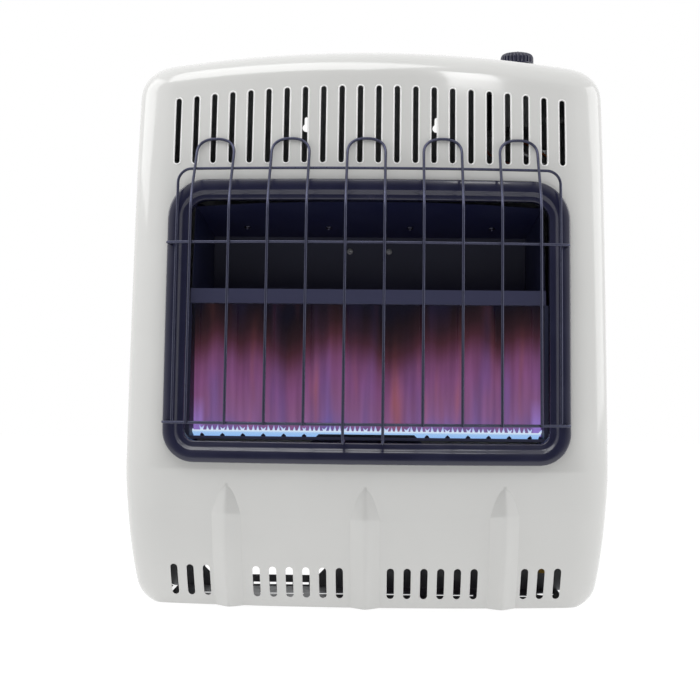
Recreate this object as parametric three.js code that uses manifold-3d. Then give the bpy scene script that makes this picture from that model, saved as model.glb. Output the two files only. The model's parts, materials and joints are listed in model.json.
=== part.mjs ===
// A wall-hung gas heater with a glass-fronted burner, an enamelled steel casing and a wire guard.
// Millimetres, +Z up. The front looks along -Y, and the origin is under the middle of the whole object.
import * as THREE from 'three';
import { mergeGeometries, mergeVertices } from 'three/addons/utils/BufferGeometryUtils.js';
import Module from 'manifold-3d';

const wasm = await Module();
wasm.setup();

// Common sizes
const sheet = 1.0;              // casing and back panel steel
const thinSheet = 0.9;          // firebox and bracket steel
const gap = 0.3;                // clearance between pieces that touch
const overrun = 20;             // how far a cutter runs past what it cuts

// Casing: a wrapped shell, deepest at the belly under the window
const casingWidth = 597;
const casingHeight = 698;
const casingDepth = 236;
const bellyHeight = 176;
const creaseHeight = 113;
const topSetBack = 73;          // how far the front leans back at the top
const leanShare = 0.6;          // part of that lean which is straight, the rest is curved
const creaseSetBack = 2;
const tuckUnder = 61;           // how far the front tucks back at the floor
const tuckShare = 0.45;
const frontBow = 31;            // fullness of the front in plan
const cornerWidth = 50;         // rounding from the front to the sides
const cornerDepth = 24;
const shoulderRadius = 38;      // rounding from the front and sides to the top
const shoulderStart = THREE.MathUtils.degToRad(15);
const crown = 21;               // how much lower the top is at its ends
const creaseRise = 18;          // how much higher the crease is at its ends
const sideTaper = 5;
const sideTuck = 14;
const footRadius = 28;          // rounding from the sides to the lower edge
const footStart = THREE.MathUtils.degToRad(20);
const ribMargin = 129.5;        // from the side to the outer ribs
const ribRise = 38;             // how far the ribs start above the crease
const ribProud = 15;
const ribHalfWidth = 16;
const ribGrowthPower = 0.6;

// Slots in the casing
const upperSlotCount = 22;
const upperSlotMargin = 58;     // from the side to the outermost slots
const upperSlotWidth = 6.5;
const upperSlotLength = 98;
const upperSlotDrop = 48;       // from the top to the middle slots
const upperSlotArch = 14.5;     // how much lower the outermost slots end
const lowerSlotPitch = 20.5;
const lowerSlotWidth = 9;
const lowerSlotBottom = 13;
const lowerSlotTop = 54;
const innerGroupPlace = 82.5;
const outerGroupMargin = 82;    // from the side to the middle of the outer groups

// Window bezel: a formed frame that follows the front
const bezelMargin = 49.5;       // from the side to the bezel
const bezelBottom = 182;
const bezelDrop = 167;          // from the top to the bezel
const bezelTopRadius = 48;
const bezelBottomRadius = 39;
const bezelWidth = 26;
const bezelProud = 9;
const bezelReturn = 24;         // depth of its inward return behind the casing front
const bezelSeat = 13;           // width that lies on the casing

// Glass and its rails
const glassThickness = 4;
const glassMargin = 29.5;         // from the bezel's outer edge to the glass
const glassDrop = 146.6;        // from the bezel's upper edge to the glass
const glassLowSetBack = 34;     // behind the belly line, at the foot of the glass
const glassTopSetBack = 53;
const railDepth = 9;
const railHeight = 18;
const railGrip = 8;             // how far the upper rail takes in the glass
const lowRailHeight = 3.5;
const lowRailGrip = 2.3;
const clipWidth = 4;

// Firebox
const fireboxWallGap = 71;      // between the firebox and the back of the casing
const fireboxTaper = 19;        // how much narrower it is at the back, on each side
const fireboxLift = 4;          // above the lower edge of the bezel
const deflectorDrop = 37;
const deflectorScrewCount = 4;
const deflectorScrewMargin = 46.5;
const backScrewPitch = 51;
const backScrewDrop = 81;       // under the upper edge of the bezel
const screwHeadRadius = 4;
const screwHeadHeight = 2.6;
const shieldLift = 5;           // above the upper edge of the bezel
const shieldDepth = 120;
const shieldMargin = 14;        // how much narrower than the firebox's back, on each side
const flange = 16;

// Burner
const burnerSetBack = 86;
const burnerEndGap = 1.6;       // between its rear corners and the firebox sides
const burnerDepth = 44;
const burnerHeight = 30;
const burnerLift = 27;          // above the lower edge of the bezel
const fullPortCount = 16;
const portBridge = 4.8;         // metal left between the ports
const portEndGap = 2;           // metal left at the strip's ends, beside the half ports there
const portWidth = 8;
const venturiRadius = 13;
const venturiThroat = 8;
const venturiLength = 52;
const holderLength = 16;
const holderSide = 18;
const injectorRadius = 4;
const injectorLength = 14;

// Pilot
const shieldPlateHalfWidth = 69;
const shieldPlateRise = 7;      // above the burner
const shieldPlateSlope = 10;
const pilotShelfLift = 2;       // above the lower edge of the bezel
const pilotSetBack = 46;
const pilotPlace = -20;
const thermocouplePlace = 8;
const electrodePlace = -46;
const pilotRadius = 5;
const pilotHeight = 19;
const thermocoupleRadius = 2;
const electrodeRadius = 3;

// Control
const knobMargin = 108;         // from the side
const knobWallGap = 68;         // from the back of the casing
const knobRadius = 21.7;
const knobHeight = 16.5;
const knobClearance = 0.6;      // left under the knob when it is pushed right in
const knobFluteCount = 20;
const knobFluteDepth = 1.1;
const knobBore = 12;
const stemRadius = 4;
const stemClearance = 0.4;
const stemHole = 9;
const plungerRadius = 3.6;
const plungerLength = 18;
const valveWidth = 62;
const valveDepth = 44;
const valveHeight = 46;
const stemReach = 26;           // from the valve's boss to the knob
const bossRadius = 12;
const bossHeight = 12;
const boreFloor = 6;            // metal left under the plunger's bore
const pushTravel = 4;
const igniterRadius = 10;
const igniterLength = 44;

// Gas supply
const regulatorMargin = 62.5;   // from the side
const regulatorWallGap = 46;    // from the back of the casing
const regulatorBase = 74;
const regulatorRadius = 29;
const regulatorHeight = 24;
const inletRadius = 10.5;
const inletBore = 7.5;
const inletLength = 44;
const pipeRadius = 5;
const tubeRadius = 4;
const pilotTubeRadius = 2.5;
const leadRadius = 1.5;
const leadForward = 39;         // how far in front of the valve's ports the leads run down
const sideRunMargin = 30.5;     // from the side to the tubes that run down beside the firebox

// Back panel
const keyholePlace = 88;
const keyholeDrop = 76;         // from the top
const keyholeHead = 5.5;
const keyholeSlot = 2.6;
const keyholeRise = 12;
const rearOpeningMargin = 78.5; // from the side
const rearOpeningRight = -57;
const rearOpeningBottom = 16;
const rearOpeningTop = 56;
const rearOpeningChamfer = 10;
const rearSlotCount = 6;
const rearSlotPitch = 22;
const rearSlotLength = 9;
const rearSlotHeight = 3;
const rearSlotBase = 3;

// Base pan
const intakeRows = 2;
const intakeColumns = 6;
const intakeMargin = 113.5;     // from the side to the middle of the outermost intakes
const intakeBridge = 16;        // metal left between them
const intakeWidth = 12;
const intakePitchY = 44;

// Wire guard
const guardReach = 50;          // in front of the belly line
const wire = 3.5;
const hoopCount = 5;
const hoopMargin = 61;          // from the bezel's outer edge to the middle of the outermost hoops
const hoopShift = 3;            // how far the hoops stand to the left of the middle
const hoopWidth = 47;
const hoopDrop = 116;           // from the top of the casing
const hoopArch = 19;
const hoopSquareness = 2.4;     // power of the arch's rounded shape, where 2 is an ellipse
const hoopBendDrop = 94;        // under their tops, where they start to lean towards the casing
const lowWireLift = 50;         // above the lower edge of the bezel
const midWireDrop = 82;         // under the upper edge of the bezel
const frameLift = 12;           // above the upper edge of the bezel
const frameRadius = 17;
const frameProud = 16;
const crossMargin = 6;          // from the bezel's outer edge to the ends of the cross wires
const wireSides = 8;
const casingScrewLift = 80;     // from the floor to the lower screws
const casingScrewDrop = 98;     // from the top to the upper ones

// Worked out from the sizes above
const halfWidth = casingWidth / 2;
const backY = (casingDepth + guardReach) / 2;
const bellyY = backY - casingDepth;
const cornerStart = halfWidth - cornerWidth;
const footCentre = footRadius * Math.cos(footStart);
const ribPlaces = [ribMargin - halfWidth, 0, halfWidth - ribMargin];
const ribTop = creaseHeight + ribRise;
const upperSlotTop = casingHeight - upperSlotDrop;
const upperSlotBottom = upperSlotTop - upperSlotLength;
const slotGroups = [
  { place: outerGroupMargin - halfWidth, count: 3 },
  { place: -innerGroupPlace, count: 6 },
  { place: innerGroupPlace, count: 6 },
  { place: halfWidth - outerGroupMargin, count: 3 },
];
const bezelHalfWidth = halfWidth - bezelMargin;
const bezelTop = casingHeight - bezelDrop;
const shoulderFoot = casingHeight - shoulderRadius;
const shoulderArcStart = shoulderFoot + shoulderRadius * Math.sin(shoulderStart);
const shoulderSetBack = setBackUp(shoulderArcStart) + shoulderRadius * Math.cos(shoulderStart);
const panelFrontY = backY - sheet - gap;
const knobPlaceX = halfWidth - knobMargin;
const knobY = backY - knobWallGap;
const regulatorPlaceX = halfWidth - regulatorMargin;
const regulatorY = backY - regulatorWallGap;
const casingScrewHeights = [casingScrewLift, casingHeight - casingScrewDrop];

// How far the front is behind the belly line above the belly
function setBackUp(z) {
  const rise = (z - bellyHeight) / (casingHeight - bellyHeight);
  return topSetBack * (leanShare * rise + (1 - leanShare) * rise * rise);
}

// The same below the belly: slightly curved down to the crease, then tucked under
function setBackDown(z) {
  if (z >= creaseHeight) {
    return creaseSetBack * ((bellyHeight - z) / (bellyHeight - creaseHeight)) ** 2;
  }
  const drop = (creaseHeight - z) / creaseHeight;
  return creaseSetBack + (tuckUnder - creaseSetBack) * (tuckShare * drop + (1 - tuckShare) * drop * drop);
}

const setBack = (z) => (z >= bellyHeight ? setBackUp(z) : setBackDown(z));
const bow = (x) => frontBow * (x / halfWidth) ** 2;
const frontY = (x, z) => bellyY + setBack(z) + bow(x);
const topZ = (x) => casingHeight - crown * (x / halfWidth) ** 2;

function sideX(z) {
  if (z >= bellyHeight) {
    return halfWidth - sideTaper * (z - bellyHeight) / (casingHeight - bellyHeight);
  }
  return halfWidth - sideTuck * ((bellyHeight - z) / bellyHeight) ** 2;
}

// Half width of the casing at a height, inset from its outer face, with its rounded foot
function wallX(z, inset) {
  const drop = footCentre - z;
  if (drop <= 0) {
    return sideX(z) - inset;
  }
  return sideX(z) - footRadius + Math.sqrt(Math.max((footRadius - inset) ** 2 - drop ** 2, 0));
}

// How far a rib stands in front of the tucked surface: a round ridge under an arched top
function ribRelief(x, z) {
  if (z >= ribTop) {
    return 0;
  }
  const arch = Math.min((ribTop - z) / ribRise, 1);
  const reach = ribHalfWidth * Math.sqrt(arch);
  const nearest = Math.min(...ribPlaces.map((place) => Math.abs(x - place)));
  if (nearest >= reach) {
    return 0;
  }
  return ribProud * ((ribTop - z) / ribTop) ** ribGrowthPower * (1 - (nearest / reach) ** 2);
}

// Small builders

function solidOf(geometry) {
  const bare = geometry.clone();
  bare.deleteAttribute('normal');
  bare.deleteAttribute('uv');
  const merged = mergeVertices(bare);
  return new wasm.Manifold(new wasm.Mesh({
    numProp: 3,
    vertProperties: new Float32Array(merged.attributes.position.array),
    triVerts: new Uint32Array(merged.index.array),
  }));
}

function geometryOf(solid) {
  const mesh = solid.getMesh();
  const geometry = new THREE.BufferGeometry();
  const places = new Float32Array(mesh.numVert * 3);
  for (let i = 0; i < mesh.numVert; i += 1) {
    places.set(mesh.vertProperties.subarray(i * mesh.numProp, i * mesh.numProp + 3), i * 3);
  }
  geometry.setAttribute('position', new THREE.BufferAttribute(places, 3));
  geometry.setIndex(Array.from(mesh.triVerts));
  return geometry;
}

const cut = (geometry, ...tools) => geometryOf(
  tools.reduce((solid, tool) => solid.subtract(solidOf(tool)), solidOf(geometry)));
const join = (geometry, ...others) => geometryOf(
  others.reduce((solid, other) => solid.add(solidOf(other)), solidOf(geometry)));

function outline(points) {
  const shape = new THREE.Shape();
  points.forEach(([x, y], i) => (i ? shape.lineTo(x, y) : shape.moveTo(x, y)));
  shape.closePath();
  return shape;
}

const plain = { bevelEnabled: false, steps: 1 };

// A plate from an outline in X and Z; it lies between y and y + thickness
function uprightPlate(shape, thickness, y, curveSegments = 6) {
  const geometry = new THREE.ExtrudeGeometry(shape, { ...plain, depth: thickness, curveSegments });
  return geometry.rotateX(Math.PI / 2).translate(0, y + thickness, 0);
}

// A plate from an outline in X and Y, resting on height z
function flatPlate(shape, thickness, z, curveSegments = 6) {
  return new THREE.ExtrudeGeometry(shape, { ...plain, depth: thickness, curveSegments }).translate(0, 0, z);
}

// A bar along X from a section in Y and Z, centred on X
function barAlongX(shape, length) {
  const geometry = new THREE.ExtrudeGeometry(shape, { ...plain, depth: length });
  const turn = new THREE.Matrix4().makeBasis(
    new THREE.Vector3(0, 1, 0), new THREE.Vector3(0, 0, 1), new THREE.Vector3(1, 0, 0));
  return geometry.applyMatrix4(turn).translate(-length / 2, 0, 0);
}

function boxBetween(low, high) {
  const size = high.map((value, i) => value - low[i]);
  const middle = high.map((value, i) => (value + low[i]) / 2);
  return new THREE.BoxGeometry(...size).translate(...middle);
}

// A slot outline with round ends, long along its second axis
function pill(x, y, width, length) {
  const radius = width / 2;
  const half = length / 2 - radius;
  const shape = new THREE.Shape();
  shape.absarc(x, y + half, radius, 0, Math.PI);
  shape.absarc(x, y - half, radius, Math.PI, 2 * Math.PI);
  shape.closePath();
  return shape;
}

function rectangle(left, bottom, right, top) {
  return outline([[left, bottom], [right, bottom], [right, top], [left, top]]);
}

function roundedRectangle(halfX, bottom, top, topRadius, bottomRadius) {
  const shape = new THREE.Shape();
  shape.absarc(halfX - bottomRadius, bottom + bottomRadius, bottomRadius, -Math.PI / 2, 0);
  shape.absarc(halfX - topRadius, top - topRadius, topRadius, 0, Math.PI / 2);
  shape.absarc(topRadius - halfX, top - topRadius, topRadius, Math.PI / 2, Math.PI);
  shape.absarc(bottomRadius - halfX, bottom + bottomRadius, bottomRadius, Math.PI, 3 * Math.PI / 2);
  shape.closePath();
  return shape;
}

function rod(radius, length, sides = 12) {
  return new THREE.CylinderGeometry(radius, radius, length, sides).rotateX(Math.PI / 2);
}

// A closed surface from a list of triangles given as points
function surfaceOf(triangles) {
  const geometry = new THREE.BufferGeometry();
  geometry.setAttribute('position', new THREE.Float32BufferAttribute(triangles.flat(), 3));
  return mergeVertices(geometry);
}

const quad = (a, b, c, d) => [...a, ...b, ...c, ...a, ...c, ...d];

// A wire, tube or lead through listed points
class WirePath extends THREE.Curve {
  constructor(points) {
    super();
    this.points = points;
  }

  getPoint(t, target = new THREE.Vector3()) {
    const place = t * (this.points.length - 1);
    const i = Math.min(Math.floor(place), this.points.length - 2);
    return target.lerpVectors(this.points[i], this.points[i + 1], place - i);
  }

  getTangent(t, target = new THREE.Vector3()) {
    const place = Math.round(t * (this.points.length - 1));
    const before = this.points[Math.max(place - 1, 0)];
    const here = this.points[place];
    const after = this.points[Math.min(place + 1, this.points.length - 1)];
    const into = here.clone().sub(before).normalize();
    return target.copy(after).sub(here).normalize().add(into).normalize();
  }

  getUtoTmapping(u) {
    return u;
  }
}

function tubeThrough(points, radius, sides = wireSides) {
  const section = new THREE.Shape();
  for (let i = 0; i < sides; i += 1) {
    const angle = 2 * Math.PI * i / sides;
    const point = [radius * Math.cos(angle), radius * Math.sin(angle)];
    if (i === 0) {
      section.moveTo(...point);
    } else {
      section.lineTo(...point);
    }
  }
  section.closePath();
  return new THREE.ExtrudeGeometry(section, {
    steps: points.length - 1, extrudePath: new WirePath(points), bevelEnabled: false,
  });
}

// The corners of a route rounded to a bend radius
function rounded(corners, radius, steps = 3) {
  const route = [corners[0]];
  for (let i = 1; i < corners.length - 1; i += 1) {
    const back = corners[i - 1].clone().sub(corners[i]);
    const ahead = corners[i + 1].clone().sub(corners[i]);
    const reach = Math.min(radius, back.length() / 2, ahead.length() / 2);
    const start = corners[i].clone().addScaledVector(back.normalize(), reach);
    const end = corners[i].clone().addScaledVector(ahead.normalize(), reach);
    const bend = new THREE.QuadraticBezierCurve3(start, corners[i], end);
    route.push(...bend.getPoints(steps));
  }
  route.push(corners[corners.length - 1]);
  return route;
}

const at = (x, y, z) => new THREE.Vector3(x, y, z);

// Materials
const enamel = new THREE.MeshStandardMaterial({ color: 0xd6d5cc, roughness: 0.35 });
const darkEnamel = new THREE.MeshStandardMaterial({ color: 0x2b2d42, roughness: 0.3 });
const darkSteel = new THREE.MeshStandardMaterial({ color: 0x1b1b26, roughness: 0.6, metalness: 0.4 });
const zincSteel = new THREE.MeshStandardMaterial({ color: 0x9a9da0, roughness: 0.45, metalness: 0.8 });
const aluminised = new THREE.MeshStandardMaterial({ color: 0x8e9092, roughness: 0.5, metalness: 0.8 });
const chromed = new THREE.MeshStandardMaterial({ color: 0xc8cace, roughness: 0.2, metalness: 1 });
const wireSteel = new THREE.MeshStandardMaterial({ color: 0x3a3d52, roughness: 0.3, metalness: 0.9 });
const brass = new THREE.MeshStandardMaterial({ color: 0xb89448, roughness: 0.35, metalness: 1 });
const castAluminium = new THREE.MeshStandardMaterial({ color: 0xa6a8aa, roughness: 0.55, metalness: 0.9 });
const drawnAluminium = new THREE.MeshStandardMaterial({ color: 0xb9bbbd, roughness: 0.35, metalness: 0.95 });
const copper = new THREE.MeshStandardMaterial({ color: 0xb06a45, roughness: 0.35, metalness: 1 });
const knobPlastic = new THREE.MeshStandardMaterial({ color: 0x17171d, roughness: 0.4 });
const igniterPlastic = new THREE.MeshStandardMaterial({ color: 0x2c2c30, roughness: 0.5 });
const leadRubber = new THREE.MeshStandardMaterial({ color: 0x8a3b2c, roughness: 0.6 });
const ceramic = new THREE.MeshStandardMaterial({ color: 0xe8e4da, roughness: 0.4 });
const clearGlass = new THREE.MeshStandardMaterial({
  color: 0xcfe0e4, roughness: 0.05, transparent: true, opacity: 0.35,
});

const heater = new THREE.Group();

function add(name, geometry, material, x = 0, y = 0, z = 0) {
  const mesh = new THREE.Mesh(geometry, material);
  mesh.name = name;
  mesh.position.set(x, y, z);
  heater.add(mesh);
  return mesh;
}

// Casing

const footShares = [0, 0.25, 0.5, 0.75, 1];
const belowCreaseShares = [0.34, 0.56, 0.78, 1];
const aboveCreaseShares = [0.35, 0.65, 1];
const leanShares = [0.16, 0.33, 0.5, 0.66, 0.8, 0.92];
const shoulderShares = [0, 0.25, 0.5, 0.75, 1];
const cornerShares = [0.2, 0.4, 0.6, 0.8, 1];
const ribColumnShares = [-1, -0.5, 0, 0.5, 1];
const panelShares = [0.35, 0.68];

// Heights of the casing's rings, each with how far it lifts towards the ends
function casingRings() {
  const footHeights = footShares.map((share) => (
    footCentre - footRadius * Math.cos(footStart + (Math.PI / 2 - footStart) * share)));
  const heights = [...footHeights, ...belowCreaseShares.map((share) => creaseHeight * share)];
  const rings = heights.map((z) => ({ z, lift: creaseRise * (z / creaseHeight) ** 2 }));
  for (const share of aboveCreaseShares) {
    rings.push({
      z: creaseHeight + (bellyHeight - creaseHeight) * share, lift: creaseRise * (1 - share),
    });
  }
  for (const share of leanShares) {
    const z = bellyHeight + (shoulderFoot - bellyHeight) * share;
    const climb = Math.max(z - upperSlotBottom, 0) / (shoulderFoot - upperSlotBottom);
    rings.push({ z, lift: -crown * climb });
  }
  return rings;
}

function frontColumns() {
  const columns = [-cornerStart];
  const edges = [-cornerStart, ...ribPlaces.flatMap((x) => [x - ribHalfWidth, x + ribHalfWidth]), cornerStart];
  for (let i = 0; i < edges.length; i += 2) {
    const width = edges[i + 1] - edges[i];
    panelShares.forEach((share) => columns.push(edges[i] + width * share));
    if (i / 2 < ribPlaces.length) {
      ribColumnShares.forEach((share) => columns.push(ribPlaces[i / 2] + ribHalfWidth * share));
    }
  }
  columns.push(cornerStart);
  return columns;
}

// Whether the rear edge of the top keeps a column: the rib middles and the columns between ribs
function keptAtRear(x) {
  const nearest = Math.min(...ribPlaces.map((place) => Math.abs(x - place)));
  return Math.abs(x) < cornerStart - gap && (nearest === 0 || nearest > ribHalfWidth + gap);
}

// One ring of the casing: back edge, corner, front, corner, back edge
function ringPoints({ half, front, z, lift, depthY, relief }) {
  const lifted = (x) => z + lift * (x / halfWidth) ** 2;
  const reach = half - cornerStart;
  const corner = cornerShares.map((share) => {
    const angle = share * Math.PI / 2;
    const x = cornerStart + reach * Math.sin(angle);
    const depth = reach * cornerDepth / cornerWidth * (1 - Math.cos(angle));
    return [x, front + bow(x) + depth, lifted(x)];
  });
  const middle = frontColumns().map((x) => (
    [x, front + bow(x) - (relief ? ribRelief(x, z) : 0), lifted(x)]));
  const mirrored = corner.map(([x, y, height]) => [-x, y, height]).reverse();
  return [[-half, depthY, lifted(half)], ...mirrored, ...middle, ...corner, [half, depthY, lifted(half)]];
}

// All rings of the casing, inset from its outer face
function casingRows(inset, depthY) {
  const rows = casingRings().map(({ z, lift }) => ringPoints({
    half: wallX(z, inset), front: bellyY + setBack(z) + inset, z, lift, depthY, relief: true,
  }));
  const arcRadius = shoulderRadius - inset;
  for (const share of shoulderShares) {
    const angle = shoulderStart + (Math.PI / 2 - shoulderStart) * share;
    const z = shoulderFoot + arcRadius * Math.sin(angle);
    const half = sideX(shoulderFoot) - shoulderRadius + arcRadius * Math.cos(angle);
    const front = bellyY + shoulderSetBack - arcRadius * Math.cos(angle);
    rows.push(ringPoints({ half, front, z, lift: -crown, depthY, relief: false }));
  }
  return rows;
}

// The casing's outer block, or its hollow when inset by the sheet
function casingBlock(inset, rearOverrun, floorOverrun) {
  const depthY = backY + rearOverrun;
  const rows = casingRows(inset, depthY);
  if (floorOverrun) {
    rows.unshift(rows[0].map(([x, y]) => [x, y, -floorOverrun]));
  }
  const faces = [];
  const last = rows[0].length - 1;
  for (let i = 0; i < rows.length - 1; i += 1) {
    for (let j = 0; j < last; j += 1) {
      faces.push(quad(rows[i][j], rows[i][j + 1], rows[i + 1][j + 1], rows[i + 1][j]));
    }
    faces.push(quad(rows[i][0], rows[i + 1][0], rows[i + 1][last], rows[i][last]));
  }
  const top = rows[rows.length - 1];
  const rear = top.map((point, j) => (
    j === 0 || j === last || keptAtRear(point[0]) ? [point[0], depthY, point[2]] : null));
  for (let j = 1; j < last / 2; j += 1) {
    rear[j] ??= rear[j - 1];
    rear[last - j] ??= rear[last - j + 1];
  }
  for (let j = 1; j < last - 1; j += 1) {
    faces.push(rear[j] === rear[j + 1] ? [...top[j], ...top[j + 1], ...rear[j]]
      : quad(top[j], top[j + 1], rear[j + 1], rear[j]));
  }
  const rearEdge = [...new Set(rear)];
  for (let j = 1; j < rearEdge.length - 1; j += 1) {
    faces.push([...rearEdge[0], ...rearEdge[j], ...rearEdge[j + 1]]);
  }
  const floor = rows[0];
  const floorPlan = floor.map(([x, y]) => new THREE.Vector2(x, y));
  for (const [a, b, c] of THREE.ShapeUtils.triangulateShape(floorPlan, [])) {
    faces.push([...floor[a], ...floor[c], ...floor[b]]);
  }
  return surfaceOf(faces);
}

const slotCutter = (x, low, high, width) => uprightPlate(
  pill(x, (low + high) / 2, width, high - low), shoulderSetBack + overrun, bellyY - overrun, 3);

function frontCasing() {
  let solid = solidOf(casingBlock(0, 0, 0)).subtract(solidOf(casingBlock(sheet, overrun, overrun)));
  const upperMiddle = (upperSlotCount - 1) / 2;
  const upperSlotPitch = (halfWidth - upperSlotMargin) / upperMiddle;
  for (let i = 0; i < upperSlotCount; i += 1) {
    const share = (i - upperMiddle) / upperMiddle;
    const top = upperSlotTop - upperSlotArch * share * share;
    solid = solid.subtract(solidOf(
      slotCutter((i - upperMiddle) * upperSlotPitch, upperSlotBottom, top, upperSlotWidth)));
  }
  for (const { place, count } of slotGroups) {
    for (let i = 0; i < count; i += 1) {
      const x = place + (i - (count - 1) / 2) * lowerSlotPitch;
      solid = solid.subtract(solidOf(slotCutter(x, lowerSlotBottom, lowerSlotTop, lowerSlotWidth)));
    }
  }
  const window = roundedRectangle(
    bezelHalfWidth - bezelSeat, bezelBottom + bezelSeat, bezelTop - bezelSeat,
    bezelTopRadius - bezelSeat, bezelBottomRadius - bezelSeat);
  const windowCutter = uprightPlate(window, shoulderSetBack + overrun, bellyY - overrun, 4);
  const stemCutter = rod(stemHole, shoulderRadius * 2, 20).translate(knobPlaceX, knobY, casingHeight);
  return geometryOf(solid.subtract(solidOf(windowCutter)).subtract(solidOf(stemCutter)));
}

// Back panel: a pan with forward flanges inside the casing's sides
function rearOutline(inset) {
  const rows = casingRows(inset, backY);
  const right = rows.map((row) => row[row.length - 1]).map(([x, , z]) => [x, z]);
  const top = rows[rows.length - 1].filter(([x]) => keptAtRear(x)).map(([x, , z]) => [x, z]).reverse();
  return [...right, ...top, ...right.map(([x, z]) => [-x, z]).reverse()];
}

// Where the outer face of the casing's side is at a height
function sideFaceX(z) {
  const side = casingRows(0, backY).map((row) => row[row.length - 1]);
  const above = side.findIndex((point) => point[2] >= z);
  const [[lowX, , lowZ], [highX, , highZ]] = [side[above - 1], side[above]];
  return lowX + (highX - lowX) * (z - lowZ) / (highZ - lowZ);
}

function backPanel() {
  const outerInset = sheet + gap;
  const shape = outline(rearOutline(outerInset));
  const pan = uprightPlate(shape, flange, backY - flange);
  const hollow = outline(rearOutline(outerInset + sheet).map(([x, z]) => [x, z < sheet ? -overrun : z]));
  const hollowCutter = uprightPlate(hollow, flange, backY - flange - sheet);
  const cutters = [];
  const rear = (holeShape) => uprightPlate(holeShape, overrun * 2, backY - overrun, 6);
  const keyholeHeight = casingHeight - keyholeDrop;
  const rearOpeningLeft = rearOpeningMargin - halfWidth;
  for (const side of [-1, 1]) {
    cutters.push(rear(new THREE.Shape()
      .absarc(side * keyholePlace, keyholeHeight, keyholeHead, 0, 2 * Math.PI)));
    cutters.push(rear(pill(side * keyholePlace, keyholeHeight + keyholeRise / 2,
      keyholeSlot * 2, keyholeRise + keyholeSlot * 2)));
  }
  cutters.push(rear(outline([
    [rearOpeningLeft, rearOpeningBottom + rearOpeningChamfer],
    [rearOpeningLeft + rearOpeningChamfer, rearOpeningBottom],
    [rearOpeningRight - rearOpeningChamfer, rearOpeningBottom],
    [rearOpeningRight, rearOpeningBottom + rearOpeningChamfer],
    [rearOpeningRight, rearOpeningTop],
    [rearOpeningLeft, rearOpeningTop],
  ])));
  const middle = (rearOpeningLeft + rearOpeningRight) / 2;
  for (let i = 0; i < rearSlotCount; i += 1) {
    const x = middle + (i - (rearSlotCount - 1) / 2) * rearSlotPitch;
    cutters.push(rear(rectangle(x - rearSlotLength / 2, rearSlotBase,
      x + rearSlotLength / 2, rearSlotBase + rearSlotHeight)));
  }
  return cut(pan, hollowCutter, ...cutters);
}

// Base pan: closes the bottom between the casing and the back panel, with air intakes
function basePan() {
  const inset = sheet + 2 * gap;
  const ring = ringPoints({
    half: wallX(0, inset + sheet) - gap, front: bellyY + setBack(0) + inset, z: 0, lift: 0,
    depthY: panelFrontY, relief: true,
  });
  const plate = flatPlate(outline(ring.map(([x, y]) => [x, y])), sheet, 0);
  const middleY = bellyY + (tuckUnder + casingDepth) / 2;
  const intakePitchX = (halfWidth - intakeMargin) / ((intakeColumns - 1) / 2);
  const intakeLength = intakePitchX - intakeBridge;
  const cutters = [];
  for (let row = 0; row < intakeRows; row += 1) {
    for (let column = 0; column < intakeColumns; column += 1) {
      const x = (column - (intakeColumns - 1) / 2) * intakePitchX;
      const y = middleY + (row - (intakeRows - 1) / 2) * intakePitchY;
      cutters.push(boxBetween(
        [x - intakeLength / 2, y - intakeWidth / 2, -overrun],
        [x + intakeLength / 2, y + intakeWidth / 2, overrun]));
    }
  }
  cutters.push(rod(inletRadius + sheet, overrun * 2, 20).translate(regulatorPlaceX, regulatorY, 0));
  return cut(plate, ...cutters);
}

// Window bezel

// Points round the bezel, inset from its outer edge
function bezelLoop(inset) {
  const low = { z: bezelBottom + bezelBottomRadius, r: bezelBottomRadius };
  const high = { z: bezelTop - bezelTopRadius, r: bezelTopRadius };
  const corners = [
    { ...low, x: bezelHalfWidth - bezelBottomRadius, turn: -1 },
    { ...high, x: bezelHalfWidth - bezelTopRadius, turn: 0 },
    { ...high, x: bezelTopRadius - bezelHalfWidth, turn: 1 },
    { ...low, x: bezelBottomRadius - bezelHalfWidth, turn: 2 },
  ];
  const arcs = corners.map(({ x, z, r, turn }) => cornerArcShares.map((share) => {
    const angle = (turn + share) * Math.PI / 2;
    return [x + (r - inset) * Math.cos(angle), z + (r - inset) * Math.sin(angle)];
  }));
  const loop = [];
  arcs.forEach((arc, i) => {
    const next = arcs[(i + 1) % arcs.length][0];
    const last = arc[arc.length - 1];
    loop.push(...arc);
    const shares = i % 2 ? bezelSpanShares : bezelSideShares;
    shares.forEach((share) => loop.push([
      last[0] + (next[0] - last[0]) * share, last[1] + (next[1] - last[1]) * share]));
  });
  return loop;
}

const cornerArcShares = [0, 0.25, 0.5, 0.75, 1];
const bezelSideShares = [0.33, 0.67];
const bezelSpanShares = [0.12, 0.25, 0.38, 0.5, 0.62, 0.75, 0.88];

// The bezel's section: distance in from its outer edge, and height proud of the casing
const bezelSection = [
  [0, gap],
  [bezelSeat * 0.1, bezelProud * 0.55],
  [bezelSeat * 0.45, bezelProud],
  [bezelWidth * 0.55, bezelProud],
  [bezelWidth * 0.85, bezelProud * 0.6],
  [bezelWidth, 0],
  [bezelWidth, -bezelReturn],
  [bezelWidth - thinSheet, -bezelReturn],
  [bezelWidth - thinSheet, -thinSheet],
  [bezelSeat + thinSheet, bezelProud * 0.45],
  [thinSheet * 2, gap],
];

function windowBezel() {
  const rings = bezelSection.map(([inset, proud]) => (
    bezelLoop(inset).map(([x, z]) => [x, frontY(x, z) - proud, z])));
  const faces = [];
  const count = rings[0].length;
  rings.forEach((ring, k) => {
    const next = rings[(k + 1) % rings.length];
    for (let i = 0; i < count; i += 1) {
      const j = (i + 1) % count;
      faces.push(quad(ring[i], ring[j], next[j], next[i]));
    }
  });
  return surfaceOf(faces);
}

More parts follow.
